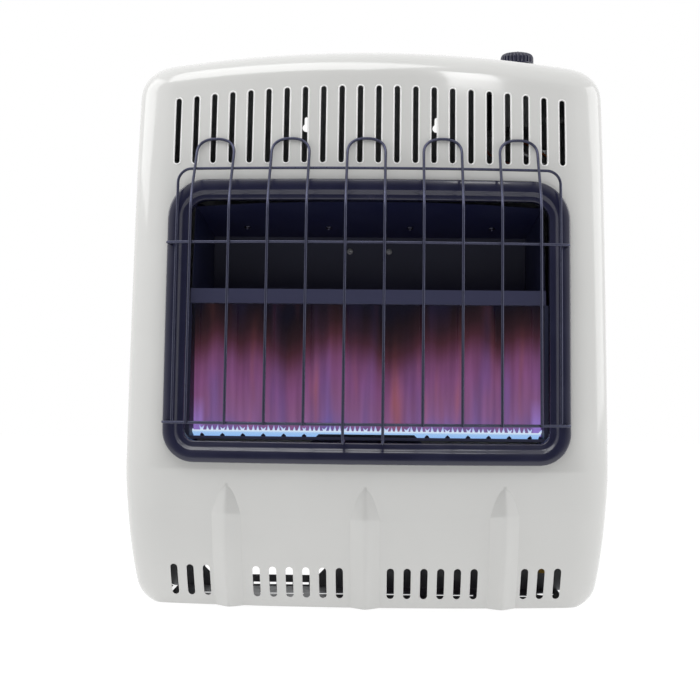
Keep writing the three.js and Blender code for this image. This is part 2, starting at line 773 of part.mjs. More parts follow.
// Glass, rails and clips share one leaning frame whose foot is the lower edge of the glass
const glassHalfWidth = bezelHalfWidth - glassMargin;
const glassFootZ = bezelBottom + bezelWidth + gap + sheet + gap;
const glassHeight = bezelTop - glassDrop - glassFootZ;
const glassLean = Math.atan((glassTopSetBack - glassLowSetBack) / glassHeight);

const leaned = (geometry) => geometry.rotateX(-glassLean)
  .translate(0, bellyY + glassLowSetBack, glassFootZ);

function channel(height, grip) {
  const half = railDepth / 2;
  const slit = glassThickness / 2 + gap;
  return outline([[-half, 0], [half, 0], [half, height], [slit, height], [slit, height - grip],
    [-slit, height - grip], [-slit, height], [-half, height]]);
}

function glassParts() {
  const innerHalf = bezelHalfWidth - bezelWidth;
  const railLength = 2 * glassHalfWidth;
  const panelLift = lowRailHeight - lowRailGrip;
  const inset = bezelWidth + gap;
  const opening = solidOf(uprightPlate(roundedRectangle(bezelHalfWidth - inset, bezelBottom + inset,
    bezelTop - inset, bezelTopRadius - inset, bezelBottomRadius - inset), casingDepth, bellyY, 3));
  const insideOpening = (geometry) => geometryOf(solidOf(leaned(geometry)).intersect(opening));
  add('glass_panel', insideOpening(boxBetween(
    [-glassHalfWidth, -glassThickness / 2, panelLift + gap],
    [glassHalfWidth, glassThickness / 2, panelLift + glassHeight])), clearGlass);
  const lowRail = barAlongX(channel(lowRailHeight, lowRailGrip), railLength);
  add('glass_bottom_rail', insideOpening(lowRail), darkEnamel);
  const topRail = barAlongX(channel(railHeight, railGrip), railLength).rotateX(Math.PI);
  const railTop = panelLift + glassHeight + gap + railHeight - railGrip;
  add('glass_top_rail', leaned(topRail.translate(0, 0, railTop)), darkEnamel);
  for (const [name, side] of [['glass_clip_left', -1], ['glass_clip_right', 1]]) {
    const inner = glassHalfWidth - clipWidth / 2;
    const outer = innerHalf - gap;
    const slit = glassThickness / 2 + gap;
    const half = railDepth / 2;
    const section = outline([[inner, -half], [outer, -half], [outer, half], [inner, half],
      [inner, slit], [glassHalfWidth + gap, slit], [glassHalfWidth + gap, -slit], [inner, -slit]]
      .map(([x, y]) => [side * x, y]));
    const low = lowRailHeight + gap;
    add(name, insideOpening(flatPlate(section, railTop - railHeight - gap - low, low)), darkSteel);
  }
}

// Firebox: sides that run back to the back panel, a back and a sloped deflector
const returnHalf = bezelHalfWidth - bezelWidth;
const fireboxBackHalfWidth = returnHalf - fireboxTaper;
const fireboxBottom = bezelBottom + fireboxLift;
const sideFrontY = bellyY + setBack(fireboxBottom) + bow(returnHalf) + bezelReturn + gap;
const fireboxBackY = backY - fireboxWallGap;
const fireboxTop = bezelTop - bezelWidth;

// Inner face of a firebox side at a depth
function sidePlateX(y) {
  const share = (y - sideFrontY) / (fireboxBackY - sideFrontY);
  return returnHalf + gap - (returnHalf - fireboxBackHalfWidth) * share;
}

function fireboxSide(side) {
  const taper = Math.atan((returnHalf - fireboxBackHalfWidth) / (fireboxBackY - sideFrontY));
  const length = (panelFrontY - sideFrontY) / Math.cos(taper) - thinSheet * Math.tan(taper);
  const topLean = (setBack(fireboxTop) - setBack(fireboxBottom)) / Math.cos(taper);
  const section = outline([[0, fireboxBottom], [length, fireboxBottom], [length, fireboxTop],
    [topLean, fireboxTop]]);
  const plate = new THREE.ExtrudeGeometry(section, { ...plain, depth: thinSheet });
  const turn = new THREE.Matrix4().makeBasis(
    new THREE.Vector3(0, 1, 0), new THREE.Vector3(0, 0, 1), new THREE.Vector3(1, 0, 0));
  plate.applyMatrix4(turn);
  if (side < 0) {
    plate.translate(-thinSheet, 0, 0);
  }
  plate.rotateZ(side * taper).translate(side * (returnHalf + gap), sideFrontY, 0);
  if (side < 0) {
    return plate;
  }
  const passage = new THREE.CylinderGeometry(venturiRadius + sheet, venturiRadius + sheet, overrun * 2, 20)
    .rotateZ(Math.PI / 2).translate(returnHalf, bellyY + burnerSetBack, venturiZ);
  return cut(plate, passage);
}

const burnerTop = bezelBottom + burnerLift;
const troughTop = burnerTop - sheet - gap;
const venturiZ = troughTop - burnerHeight / 2;
const deflectorFrontY = bellyY + setBack(fireboxTop) + bezelReturn + gap;
const deflectorSlope = Math.atan(deflectorDrop / (fireboxBackY - deflectorFrontY));
const deflectorShares = [-1, -0.66, -0.33, 0, 0.33, 0.66, 1];

function deflectorLocal(geometry) {
  return geometry.rotateX(-deflectorSlope).translate(0, deflectorFrontY, fireboxTop);
}

function hotAirDeflector() {
  const clearHalf = (y) => sidePlateX(y) - 2 * gap;
  const frontHalf = clearHalf(deflectorFrontY + bow(returnHalf));
  const front = deflectorShares.map((share) => [
    frontHalf * share, bow(frontHalf * share) / Math.cos(deflectorSlope)]);
  const depth = (fireboxBackY - gap - deflectorFrontY) / Math.cos(deflectorSlope);
  const rearHalf = clearHalf(fireboxBackY);
  const shape = outline([...front, [rearHalf, depth - thinSheet], [-rearHalf, depth - thinSheet]]);
  return deflectorLocal(flatPlate(shape, thinSheet, 0));
}

function screw(radius, height) {
  const profile = [[0, 0], [radius, 0], [radius * 0.9, height * 0.5], [radius * 0.5, height], [0, height]];
  return new THREE.LatheGeometry(profile.map(([r, z]) => new THREE.Vector2(r, z)), 10).rotateX(Math.PI / 2);
}

function fireboxParts() {
  add('firebox_left_side', fireboxSide(-1), darkSteel);
  add('firebox_right_side', fireboxSide(1), darkSteel);
  const half = fireboxBackHalfWidth - gap;
  const backTop = fireboxTop - deflectorDrop + flange;
  const backPlate = uprightPlate(rectangle(-half, fireboxBottom, half, backTop), thinSheet, fireboxBackY);
  add('firebox_back', backPlate, darkSteel);
  add('hot_air_deflector', hotAirDeflector(), darkSteel);
  const screwDepth = (fireboxBackY - deflectorFrontY) / Math.cos(deflectorSlope) - flange * 2;
  const screwMiddle = (deflectorScrewCount - 1) / 2;
  const screwPitch = (fireboxBackHalfWidth - deflectorScrewMargin) / screwMiddle;
  for (let i = 0; i < deflectorScrewCount; i += 1) {
    const head = screw(screwHeadRadius, screwHeadHeight).rotateX(Math.PI)
      .translate((i - screwMiddle) * screwPitch, screwDepth, -gap);
    add(`deflector_screw_${i + 1}`, deflectorLocal(head), chromed);
  }
  for (const [name, side] of [['firebox_screw_1', -1], ['firebox_screw_2', 1]]) {
    const head = screw(screwHeadRadius, screwHeadHeight).rotateX(Math.PI / 2);
    add(name, head, zincSteel, side * backScrewPitch / 2, fireboxBackY - gap, bezelTop - backScrewDrop);
  }
  const shieldBack = backY - sheet - gap;
  const shieldHeight = bezelTop + shieldLift;
  const shieldSection = outline([
    [shieldBack, shieldHeight + flange], [shieldBack - thinSheet, shieldHeight + flange],
    [shieldBack - thinSheet, shieldHeight + thinSheet], [shieldBack - shieldDepth, shieldHeight + thinSheet],
    [shieldBack - shieldDepth, shieldHeight], [shieldBack, shieldHeight]]);
  add('upper_heat_shield', barAlongX(shieldSection, (fireboxBackHalfWidth - shieldMargin) * 2), aluminised);
}

// Burner: a trough with a ported strip on top, carried by brackets on the firebox sides
const burnerY = bellyY + burnerSetBack;
const burnerHalfLength = sidePlateX(burnerY + burnerDepth / 2) - burnerEndGap;

function burnerParts() {
  const halfDepth = burnerDepth / 2;
  const low = troughTop - burnerHeight;
  const slant = burnerHeight / 3;
  const trough = barAlongX(outline([
    [burnerY - halfDepth, troughTop], [burnerY - halfDepth, low + slant], [burnerY - halfDepth + slant, low],
    [burnerY + halfDepth - slant, low], [burnerY + halfDepth, low + slant], [burnerY + halfDepth, troughTop],
  ]), burnerHalfLength * 2);
  const hollow = barAlongX(outline([
    [burnerY - halfDepth + sheet, troughTop + overrun], [burnerY - halfDepth + sheet, low + slant],
    [burnerY - halfDepth + slant, low + sheet], [burnerY + halfDepth - slant, low + sheet],
    [burnerY + halfDepth - sheet, low + slant], [burnerY + halfDepth - sheet, troughTop + overrun],
  ]), (burnerHalfLength - sheet) * 2);
  const mouth = new THREE.CylinderGeometry(venturiThroat, venturiThroat, overrun, 16)
    .rotateZ(Math.PI / 2).translate(burnerHalfLength, burnerY, venturiZ);
  add('burner_tray', cut(trough, hollow, mouth), aluminised);
  const strip = flatPlate(rectangle(-burnerHalfLength, burnerY - halfDepth, burnerHalfLength,
    burnerY + halfDepth), sheet, burnerTop - sheet);
  const portPitch = 2 * burnerHalfLength / (fullPortCount + 1);
  const portsEnd = burnerHalfLength - portEndGap;
  const portY = burnerY - halfDepth / 2;
  const ports = [];
  for (let i = 0; i < fullPortCount + 2; i += 1) {
    const end = (i - fullPortCount / 2) * portPitch - portBridge / 2;
    const start = Math.max(end - portPitch + portBridge, -portsEnd);
    ports.push(boxBetween([start, portY - portWidth / 2, burnerTop - overrun],
      [Math.min(end, portsEnd), portY + portWidth / 2, burnerTop + overrun]));
  }
  add('burner_port_strip', cut(strip, ...ports), aluminised);
  for (const [name, side] of [['burner_bracket_left', -1], ['burner_bracket_right', 1]]) {
    const rearY = burnerY + halfDepth;
    const reach = sidePlateX(rearY) - gap;
    const inner = burnerHalfLength - flange;
    const shelf = boxBetween([inner, burnerY, low - gap - thinSheet], [reach, rearY, low - gap]);
    const ear = boxBetween([reach - thinSheet, burnerY + venturiRadius + sheet, low - gap - thinSheet],
      [reach, rearY, troughTop]);
    const bracket = join(shelf, ear);
    add(name, side < 0 ? bracket.rotateZ(Math.PI).translate(0, burnerY + rearY, 0) : bracket, zincSteel);
  }
}

function venturiParts() {
  const start = burnerHalfLength + gap;
  const wall = sheet;
  const outer = [[venturiThroat, 0], [venturiThroat + wall, 0], [venturiThroat + wall, venturiLength * 0.6],
    [venturiRadius, venturiLength], [venturiRadius - wall, venturiLength],
    [venturiThroat, venturiLength * 0.6], [venturiThroat, 0]];
  const lathe = new THREE.LatheGeometry(outer.map(([r, z]) => new THREE.Vector2(r, z)), 16);
  add('venturi_tube', lathe.rotateZ(-Math.PI / 2), zincSteel, start, burnerY, venturiZ);
  const holderX = start + venturiLength + gap;
  const body = boxBetween([holderX, -holderSide / 2, -holderSide / 2],
    [holderX + holderLength, holderSide / 2, holderSide / 2]);
  const bore = new THREE.CylinderGeometry(injectorRadius + gap, injectorRadius + gap, overrun, 16)
    .rotateZ(Math.PI / 2).translate(holderX, 0, 0);
  add('injector_holder', cut(body, bore), brass, 0, burnerY, venturiZ);
  const injector = [[0, 0], [injectorRadius, 0], [injectorRadius, injectorLength * 0.6],
    [injectorRadius * 0.5, injectorLength], [0, injectorLength]];
  const orifice = new THREE.LatheGeometry(injector.map(([r, z]) => new THREE.Vector2(r, z)), 12);
  const depthInHolder = overrun / 2 - gap;
  add('gas_injector', orifice.rotateZ(Math.PI / 2), brass, holderX + depthInHolder, burnerY, venturiZ);
}

// Pilot: a draught shield in front of the burner, with a shelf that carries the pilot's parts
const pilotY = bellyY + pilotSetBack;
const pilotShelfHeight = bezelBottom + pilotShelfLift;
const shieldPlateTop = burnerTop + shieldPlateRise;

function pilotParts() {
  const burnerFrontY = burnerY - burnerDepth / 2 - gap;
  const half = shieldPlateHalfWidth;
  const face = uprightPlate(outline([[-half, pilotShelfHeight - thinSheet], [half, pilotShelfHeight - thinSheet],
    [half, shieldPlateTop - shieldPlateSlope], [half - shieldPlateSlope, shieldPlateTop],
    [shieldPlateSlope - half, shieldPlateTop], [-half, shieldPlateTop - shieldPlateSlope]]), thinSheet, pilotY);
  const shelf = boxBetween([-half, pilotY, pilotShelfHeight - thinSheet],
    [half, burnerFrontY, pilotShelfHeight]);
  add('pilot_bracket', join(face, shelf), darkSteel);
  const standY = (pilotY + thinSheet + burnerFrontY) / 2;
  const foot = pilotShelfHeight + gap;
  const hood = [[0, 0], [pilotRadius * 0.7, 0], [pilotRadius * 0.7, pilotHeight * 0.5],
    [pilotRadius, pilotHeight * 0.6], [pilotRadius, pilotHeight], [0, pilotHeight]];
  const lathe = (profile, sides) => new THREE.LatheGeometry(
    profile.map(([r, z]) => new THREE.Vector2(r, z)), sides).rotateX(Math.PI / 2);
  add('pilot_burner', lathe(hood, 12), brass, pilotPlace, standY, foot);
  const probe = [[0, 0], [thermocoupleRadius * 1.6, 0], [thermocoupleRadius * 1.6, pilotHeight * 0.5],
    [thermocoupleRadius, pilotHeight * 0.5], [thermocoupleRadius, pilotHeight * 1.2], [0, pilotHeight * 1.3]];
  add('thermocouple', lathe(probe, 10), zincSteel, thermocouplePlace, standY, foot);
  const electrode = [[0, 0], [electrodeRadius, 0], [electrodeRadius, pilotHeight * 0.7],
    [electrodeRadius / 4, pilotHeight * 0.8], [electrodeRadius / 4, pilotHeight * 1.2], [0, pilotHeight * 1.2]];
  add('ignition_electrode', lathe(electrode, 10), ceramic, electrodePlace, standY, foot);
  return standY;
}

// Control: valve on a bracket, plunger and stem in its bore, knob above the casing
const knobBase = topZ(knobPlaceX - knobRadius) + pushTravel + knobClearance;
const bossTop = knobBase - stemReach;
const valveTop = bossTop - bossHeight;
const valveBase = valveTop - valveHeight;
const boreBottom = valveBase + boreFloor;
const plungerBase = boreBottom + pushTravel + gap;
const stemBase = plungerBase + plungerLength + gap;

function controlParts() {
  const body = boxBetween([-valveWidth / 2, -valveDepth / 2, valveBase],
    [valveWidth / 2, valveDepth / 2, valveTop]);
  const boss = rod(bossRadius, bossHeight + sheet, 16).translate(0, 0, bossTop - (bossHeight + sheet) / 2);
  const boreLength = bossTop - boreBottom + overrun;
  const bore = rod(stemRadius + stemClearance, boreLength, 16).translate(0, 0, boreBottom + boreLength / 2);
  const port = boxBetween([valveWidth / 2 - sheet, -bossRadius / 2, valveBase + boreFloor],
    [valveWidth / 2 + boreFloor, bossRadius / 2, valveBase + boreFloor + bossRadius]);
  add('gas_valve', cut(join(body, boss, port), bore), castAluminium, knobPlaceX, knobY, 0);
  add('valve_plunger', rod(plungerRadius, plungerLength, 12), brass, knobPlaceX, knobY,
    plungerBase + plungerLength / 2);
  const stemTop = knobBase + knobBore - gap;
  add('valve_stem', rod(stemRadius, stemTop - stemBase, 12), zincSteel, knobPlaceX, knobY,
    (stemTop + stemBase) / 2);
  add('control_knob', controlKnob(), knobPlastic, knobPlaceX, knobY, knobBase);
  const shelfFront = knobY - valveDepth / 2 + flange;
  const shelfLow = valveBase - gap - thinSheet;
  const section = outline([[shelfFront, shelfLow], [panelFrontY, shelfLow], [panelFrontY, shelfLow + flange],
    [panelFrontY - thinSheet, shelfLow + flange], [panelFrontY - thinSheet, shelfLow + thinSheet],
    [shelfFront, shelfLow + thinSheet]]);
  add('valve_bracket', barAlongX(section, valveWidth), zincSteel, knobPlaceX, 0, 0);
  const igniter = new THREE.CylinderGeometry(igniterRadius, igniterRadius * 0.8, igniterLength, 14)
    .rotateX(Math.PI / 2);
  add('piezo_igniter', igniter, igniterPlastic, knobPlaceX - valveWidth / 2 - igniterRadius - gap,
    knobY, valveBase + igniterLength / 2);
}

function controlKnob() {
  const points = [];
  const stations = knobFluteCount * 2;
  for (let i = 0; i < stations; i += 1) {
    const angle = 2 * Math.PI * i / stations;
    const radius = knobRadius - (i % 2 ? knobFluteDepth : 0);
    points.push([radius * Math.cos(angle), radius * Math.sin(angle)]);
  }
  const fluted = flatPlate(outline(points), knobHeight, 0);
  const dome = [[0, 0], [knobRadius, 0], [knobRadius, knobHeight * 0.72],
    [knobRadius * 0.93, knobHeight * 0.86], [knobRadius * 0.6, knobHeight * 0.97], [0, knobHeight]];
  const domed = new THREE.LatheGeometry(dome.map(([r, z]) => new THREE.Vector2(r, z)), knobFluteCount)
    .rotateX(Math.PI / 2);
  const bore = rod(stemRadius + gap, knobBore * 2, 12);
  return geometryOf(solidOf(fluted).intersect(solidOf(domed)).subtract(solidOf(bore)));
}

// Gas supply: inlet fitting, regulator on its bracket, and the tubes
function supplyParts(pilotStandY) {
  const cap = [[0, 0], [inletRadius, 0], [inletRadius, regulatorHeight * 0.3],
    [regulatorRadius, regulatorHeight * 0.35], [regulatorRadius, regulatorHeight * 0.8],
    [regulatorRadius * 0.7, regulatorHeight], [0, regulatorHeight]];
  const body = new THREE.LatheGeometry(cap.map(([r, z]) => new THREE.Vector2(r, z)), 20).rotateX(Math.PI / 2);
  add('pressure_regulator', body, castAluminium, regulatorPlaceX, regulatorY, regulatorBase);
  const fitting = rod(inletRadius, inletLength, 6);
  const bore = rod(inletBore, overrun, 14).translate(0, 0, -inletLength / 2);
  add('inlet_fitting', cut(fitting, bore), brass, regulatorPlaceX, regulatorY,
    regulatorBase - gap - inletLength / 2);
  const bracketLow = regulatorBase + regulatorHeight * 0.35 - gap - thinSheet;
  const front = regulatorY - regulatorRadius * 0.6;
  const section = outline([[front, bracketLow], [panelFrontY, bracketLow], [panelFrontY, bracketLow - flange],
    [panelFrontY - thinSheet, bracketLow - flange], [panelFrontY - thinSheet, bracketLow - thinSheet],
    [front, bracketLow - thinSheet]]);
  const bracket = barAlongX(section, regulatorRadius * 1.6);
  const hole = rod(inletRadius + gap, overrun * 2, 20).translate(0, regulatorY, bracketLow);
  add('regulator_bracket', cut(bracket, hole), zincSteel, regulatorPlaceX, 0, 0);

  const valvePortX = knobPlaceX + valveWidth / 2 + boreFloor + gap;
  const valvePortZ = valveBase + boreFloor + bossRadius / 2;
  const regulatorTop = regulatorBase + regulatorHeight + gap;
  const underValve = valveBase - gap;
  const portY = knobY - valveDepth / 2 + flange / 2;
  add('inlet_tube', tubeThrough(rounded([
    at(regulatorPlaceX, regulatorY, regulatorTop),
    at(regulatorPlaceX, regulatorY, regulatorTop + flange * 2),
    at(regulatorPlaceX, portY, underValve - flange * 2),
    at(knobPlaceX + valveWidth / 3, portY, underValve - flange * 2),
    at(knobPlaceX + valveWidth / 3, portY, underValve),
  ], flange), pipeRadius), drawnAluminium);
  const holderX = burnerHalfLength + gap + venturiLength + gap;
  const sideRunX = halfWidth - sideRunMargin;
  add('main_gas_tube', tubeThrough(rounded([
    at(valvePortX, knobY, valvePortZ),
    at(sideRunX + tubeRadius, knobY, valvePortZ),
    at(sideRunX + tubeRadius, knobY, valvePortZ - flange * 3),
    at(holderX + holderLength / 2, burnerY, venturiZ + flange * 3),
    at(holderX + holderLength / 2, burnerY, venturiZ + holderSide / 2 + gap),
  ], flange), tubeRadius), drawnAluminium);

  // The three small runs go down beside the firebox and in under the burner, each a step below the last
  const step = tubeRadius * 2;
  const dropY = portY - leadForward;
  const run = (order, startX, startY, placeX) => {
    const dropX = sideRunX - step * (4 - order);
    const low = pilotShelfHeight - flange - step * (order + 1);
    return rounded([
      at(startX, startY, underValve),
      at(startX, startY, underValve - flange - step * order),
      at(dropX, dropY, underValve - flange * 3 - step * order * 2),
      at(dropX, dropY, low),
      at(placeX, pilotStandY, low),
      at(placeX, pilotStandY, pilotShelfHeight - thinSheet - gap),
    ], flange);
  };
  const igniterX = knobPlaceX - valveWidth / 2 - igniterRadius - gap;
  add('thermocouple_lead', tubeThrough(
    run(0, knobPlaceX + step / 2, portY, thermocouplePlace), leadRadius, 6), copper);
  add('pilot_tube', tubeThrough(
    run(1, knobPlaceX - step, portY, pilotPlace), pilotTubeRadius, 6), drawnAluminium);
  add('ignition_wire', tubeThrough(
    run(2, igniterX, knobY, electrodePlace), leadRadius, 6), leadRubber);
}

// Wire guard: hoops in front, cross wires behind them, a frame wire nearer to the casing
const wireRadius = wire / 2;
const hoopTop = casingHeight - hoopDrop;
const hoopBend = hoopTop - hoopBendDrop;
const lowWireHeight = bezelBottom + lowWireLift;
const crossHalfWidth = bezelHalfWidth - crossMargin;
const frameHalfWidth = crossHalfWidth - 2 * wire;
const hoopTopProud = wireRadius + gap * 2;
const centreHoopBottom = bezelBottom + bezelWidth + wireRadius + gap;
const guardY = bellyY - guardReach + wireRadius - bow(hoopWidth / 2);
const guardSlope = (setBack(hoopBend) - setBack(lowWireHeight)) / (hoopBend - lowWireHeight);

// How far a hoop has come from the guard's plane to the casing, from 0 under the bend to 1 at its top
function bendShare(z) {
  const t = Math.min(Math.max((z - hoopBend) / (hoopTop - hoopBend), 0), 1);
  return t * t * (3 - 2 * t);
}

// Depth of the hoops' wire axis
function hoopY(x, z) {
  const line = guardY + guardSlope * (z - centreHoopBottom - wire) + bow(x);
  return line * (1 - bendShare(z)) + (frontY(x, z) - hoopTopProud) * bendShare(z);
}

const bendShares = [0, 0.22, 0.44, 0.64, 0.84];
const archShares = [0, 0.14, 0.26, 0.38, 0.5, 0.62, 0.74, 0.86, 1];
const hookShares = [[1, 0], [0.3, 0.3], [0, 1]];

function guardHoop(centre, foot, hooked) {
  const half = hoopWidth / 2;
  const shoulder = hoopTop - hoopArch;
  const point = (x, z) => at(x, hoopY(x, z), z);
  const squared = (value) => Math.sign(value) * Math.abs(value) ** (2 / hoopSquareness);
  const heights = [foot, ...bendShares.map((share) => hoopBend + (shoulder - hoopBend) * share)];
  const leftLeg = heights.map((z) => point(centre - half, z));
  const arch = archShares.map((share) => {
    const angle = Math.PI * share;
    return point(centre - half * squared(Math.cos(angle)), shoulder + hoopArch * squared(Math.sin(angle)));
  });
  const rightLeg = heights.map((z) => point(centre + half, z)).reverse();
  let route = [...leftLeg, ...arch, ...rightLeg];
  if (hooked) {
    const tip = (x) => at(x, frontY(x, foot) + bezelProud, foot);
    const [left, right] = [centre - half, centre + half];
    const bend = (x) => hookShares.map(([back, up]) => (
      at(x, hoopY(x, foot + wire) + wire * back, foot + wire * up)));
    route = [tip(left), ...bend(left), ...route.slice(1, -1), ...bend(right).reverse(), tip(right)];
  }
  return tubeThrough(route, wireRadius);
}

// A cross wire behind the hoops, with its ends turned back to the bezel
function crossWire(z) {
  const behind = wire + gap;
  const spanShares = [-0.9, -0.6, -0.3, 0, 0.3, 0.6, 0.9];
  const span = spanShares.map((share) => {
    const x = crossHalfWidth * share;
    return at(x, hoopY(x, z) + behind, z);
  });
  const end = (side) => {
    const x = side * crossHalfWidth;
    const seat = frontY(x, z) - bezelProud - gap;
    return [at(x, hoopY(x, z) + behind + wire, z), at(x, seat, z)];
  };
  const corner = (side) => at(side * (crossHalfWidth - wire), hoopY(crossHalfWidth, z) + behind, z);
  return tubeThrough([...end(-1).reverse(), corner(-1), ...span, corner(1), ...end(1)], wireRadius);
}

function frameWire() {
  const frameTop = bezelTop + frameLift;
  const point = (x, z) => at(x, frontY(x, z) - frameProud, z);
  const sideFoot = lowWireHeight - wire;
  const sideHeights = [0, 0.3, 0.6, 0.85].map((share) => sideFoot
    + (frameTop - frameRadius - sideFoot) * share);
  const arc = [0, 0.25, 0.5, 0.75, 1].map((share) => {
    const angle = share * Math.PI / 2;
    return [frameHalfWidth - frameRadius * (1 - Math.cos(angle)),
      frameTop - frameRadius * (1 - Math.sin(angle))];
  });
  const top = [0.75, 0.5, 0.25, 0].map((share) => [(frameHalfWidth - frameRadius) * share, frameTop]);
  const right = [...sideHeights.map((z) => [frameHalfWidth, z]), ...arc, ...top];
  const left = right.slice(0, -1).map(([x, z]) => [-x, z]).reverse();
  return tubeThrough([...right, ...left].map(([x, z]) => point(x, z)), wireRadius);
}

function guardParts() {
  const middle = (hoopCount - 1) / 2;
  const hoopPitch = (bezelHalfWidth - hoopMargin) / middle;
  for (let i = 0; i < hoopCount; i += 1) {
    const hooked = i === middle;
    const foot = hooked ? centreHoopBottom : lowWireHeight - wireRadius;
    add(`guard_hoop_${i + 1}`, guardHoop((i - middle) * hoopPitch - hoopShift, foot, hooked), wireSteel);
  }
  add('guard_frame_wire', frameWire(), wireSteel);
  add('guard_middle_wire', crossWire(bezelTop - midWireDrop), wireSteel);
  add('guard_low_wire', crossWire(lowWireHeight), wireSteel);
}

// Casing screws through the sides into the back panel's flanges
function casingScrews() {
  let count = 0;
  for (const side of [-1, 1]) {
    for (const z of casingScrewHeights) {
      count += 1;
      const head = screw(screwHeadRadius, screwHeadHeight).rotateY(side * Math.PI / 2);
      add(`casing_screw_${count}`, head, zincSteel, side * (sideFaceX(z) + gap), backY - flange / 2, z);
    }
  }
}

add('front_casing', frontCasing(), enamel);
add('back_panel', backPanel(), zincSteel);
add('base_pan', basePan(), zincSteel);
add('window_bezel', windowBezel(), darkEnamel);
glassParts();
fireboxParts();
burnerParts();
venturiParts();
const standY = pilotParts();
controlParts();
supplyParts(standY);
guardParts();
casingScrews();

export default heater;
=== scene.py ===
"""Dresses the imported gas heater: formed steel, enamel, glass, wire guard, flames and a plain studio.

Every length is in metres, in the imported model's own frame: +Z up, the front towards -Y.
"""

import json
import logging
import math
from collections.abc import Sequence
from dataclasses import dataclass
from enum import Enum

import bmesh
import bpy
import numpy as np
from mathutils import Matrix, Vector
from mathutils.bvhtree import BVHTree


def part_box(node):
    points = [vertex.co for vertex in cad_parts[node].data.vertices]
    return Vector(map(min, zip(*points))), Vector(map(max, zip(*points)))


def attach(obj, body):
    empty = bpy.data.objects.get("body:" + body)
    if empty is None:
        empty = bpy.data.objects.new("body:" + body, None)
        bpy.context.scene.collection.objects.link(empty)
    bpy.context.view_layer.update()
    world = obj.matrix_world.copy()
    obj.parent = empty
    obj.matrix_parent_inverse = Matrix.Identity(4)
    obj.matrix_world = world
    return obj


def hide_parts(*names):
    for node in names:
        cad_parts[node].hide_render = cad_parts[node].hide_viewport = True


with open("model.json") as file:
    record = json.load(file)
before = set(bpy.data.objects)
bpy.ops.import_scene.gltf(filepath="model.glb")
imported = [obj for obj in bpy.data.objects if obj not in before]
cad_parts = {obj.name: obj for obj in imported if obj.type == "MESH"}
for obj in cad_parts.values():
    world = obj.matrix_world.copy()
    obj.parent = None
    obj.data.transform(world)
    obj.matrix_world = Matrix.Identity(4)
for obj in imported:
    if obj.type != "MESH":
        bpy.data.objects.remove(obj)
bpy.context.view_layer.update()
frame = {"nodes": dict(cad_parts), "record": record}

MM = 0.001
BODY = "heater"
CONTROL_BODY = "turning_control"
CORNERS = ((0, 1, 1), (1, -1, 1), (2, -1, -1), (3, 1, -1))
COAT_ROUGHNESS = 0.06
PORT_GAP = 0.2 * MM
SAME_POINT = 0.01 * MM
NO_LENGTH = 0.005 * MM
SHARP_ANGLE = 50
WHITE = (1.0, 1.0, 1.0, 1.0)
log = logging.getLogger("heater")

Colour = tuple[float, float, float, float]
Place = tuple[float, float, float]
Flat = tuple[float, float]
Socket = bpy.types.NodeSocket
Material = bpy.types.Material
Mesh = bpy.types.Mesh
Piece = bpy.types.Object
Tree = bpy.types.NodeTree
Level = Socket | float


def linear(code: str) -> Colour:
    """Turns an sRGB hex colour into linear values with full alpha."""
    shares = [int(code[i:i + 2], 16) / 255 for i in (1, 3, 5)]
    red, green, blue = (c / 12.92 if c <= 0.04045 else ((c + 0.055) / 1.055) ** 2.4 for c in shares)
    return red, green, blue, 1.0


@dataclass(frozen=True)
class Net:
    """A shader or geometry tree in the making; a material's has its object coordinates."""

    tree: Tree
    place: Socket | None = None

    @classmethod
    def of(cls, owner: Material | bpy.types.World) -> "Net":
        """Empties a material's or a world's tree, and starts it anew.

        Args:
            owner: The material or world.

        Returns:
            Its tree.
        """
        owner.use_nodes = True
        owner.node_tree.nodes.clear()
        return cls(owner.node_tree)

    def node(self, kind: str, inputs: dict | None = None, **settings: object) -> bpy.types.Node:
        """Adds a node, sets its properties, and fills or links its inputs.

        Args:
            kind: The node's type name.
            inputs: Socket name or index, to a value or to another node's output.
            settings: The node's own properties.

        Returns:
            The new node.
        """
        made = self.tree.nodes.new(kind)
        for name, value in settings.items():
            setattr(made, name, value)
        for key, value in (inputs or {}).items():
            if isinstance(value, Socket):
                self.tree.links.new(value, made.inputs[key])
            else:
                made.inputs[key].default_value = value
        return made

    def add(self, kind: str, output: str | int, inputs: dict | None = None, **settings: object) -> Socket:
        """Adds a node and returns one of its outputs."""
        return self.node(kind, inputs, **settings).outputs[output]

    def math(self, operation: str, *values: Level) -> Socket:
        """Adds a calculation on up to three values."""
        return self.add("ShaderNodeMath", "Value", dict(enumerate(values)), operation=operation)

    def vector(self, operation: str, output: str, inputs: dict) -> Socket:
        """Adds a calculation on vectors."""
        return self.add("ShaderNodeVectorMath", output, inputs, operation=operation)

    def remap(self, value: Level, low: float, high: float, start: float = 0.0, end: float = 1.0,
              kind: str = "LINEAR") -> Socket:
        """Adds a node that turns one span of values into another.

        Args:
            value: The value, held to its span.
            low: The start of that span.
            high: Its end.
            start: What the span's start turns into.
            end: What its end turns into.
            kind: How the values between them follow.

        Returns:
            The new value.
        """
        return self.add("ShaderNodeMapRange", "Result", {
            "Value": value, "From Min": low, "From Max": high, "To Min": start, "To Max": end},
            interpolation_type=kind)

    def blend(self, share: Level, first: Level, second: Level) -> Socket:
        """Mixes two values."""
        return self.add("ShaderNodeMix", 0, {0: share, 2: first, 3: second})

    def tint(self, share: Level, first: Socket | Colour, second: Socket | Colour) -> Socket:
        """Mixes two colours."""
        return self.add("ShaderNodeMix", 2, {0: share, 6: first, 7: second}, data_type="RGBA")

    def noise(self, place: Socket, size: float, detail: float) -> Socket:
        """Adds a noise whose patches have a size."""
        return self.add("ShaderNodeTexNoise", "Fac", {"Vector": place, "Scale": 1 / size, "Detail": detail})


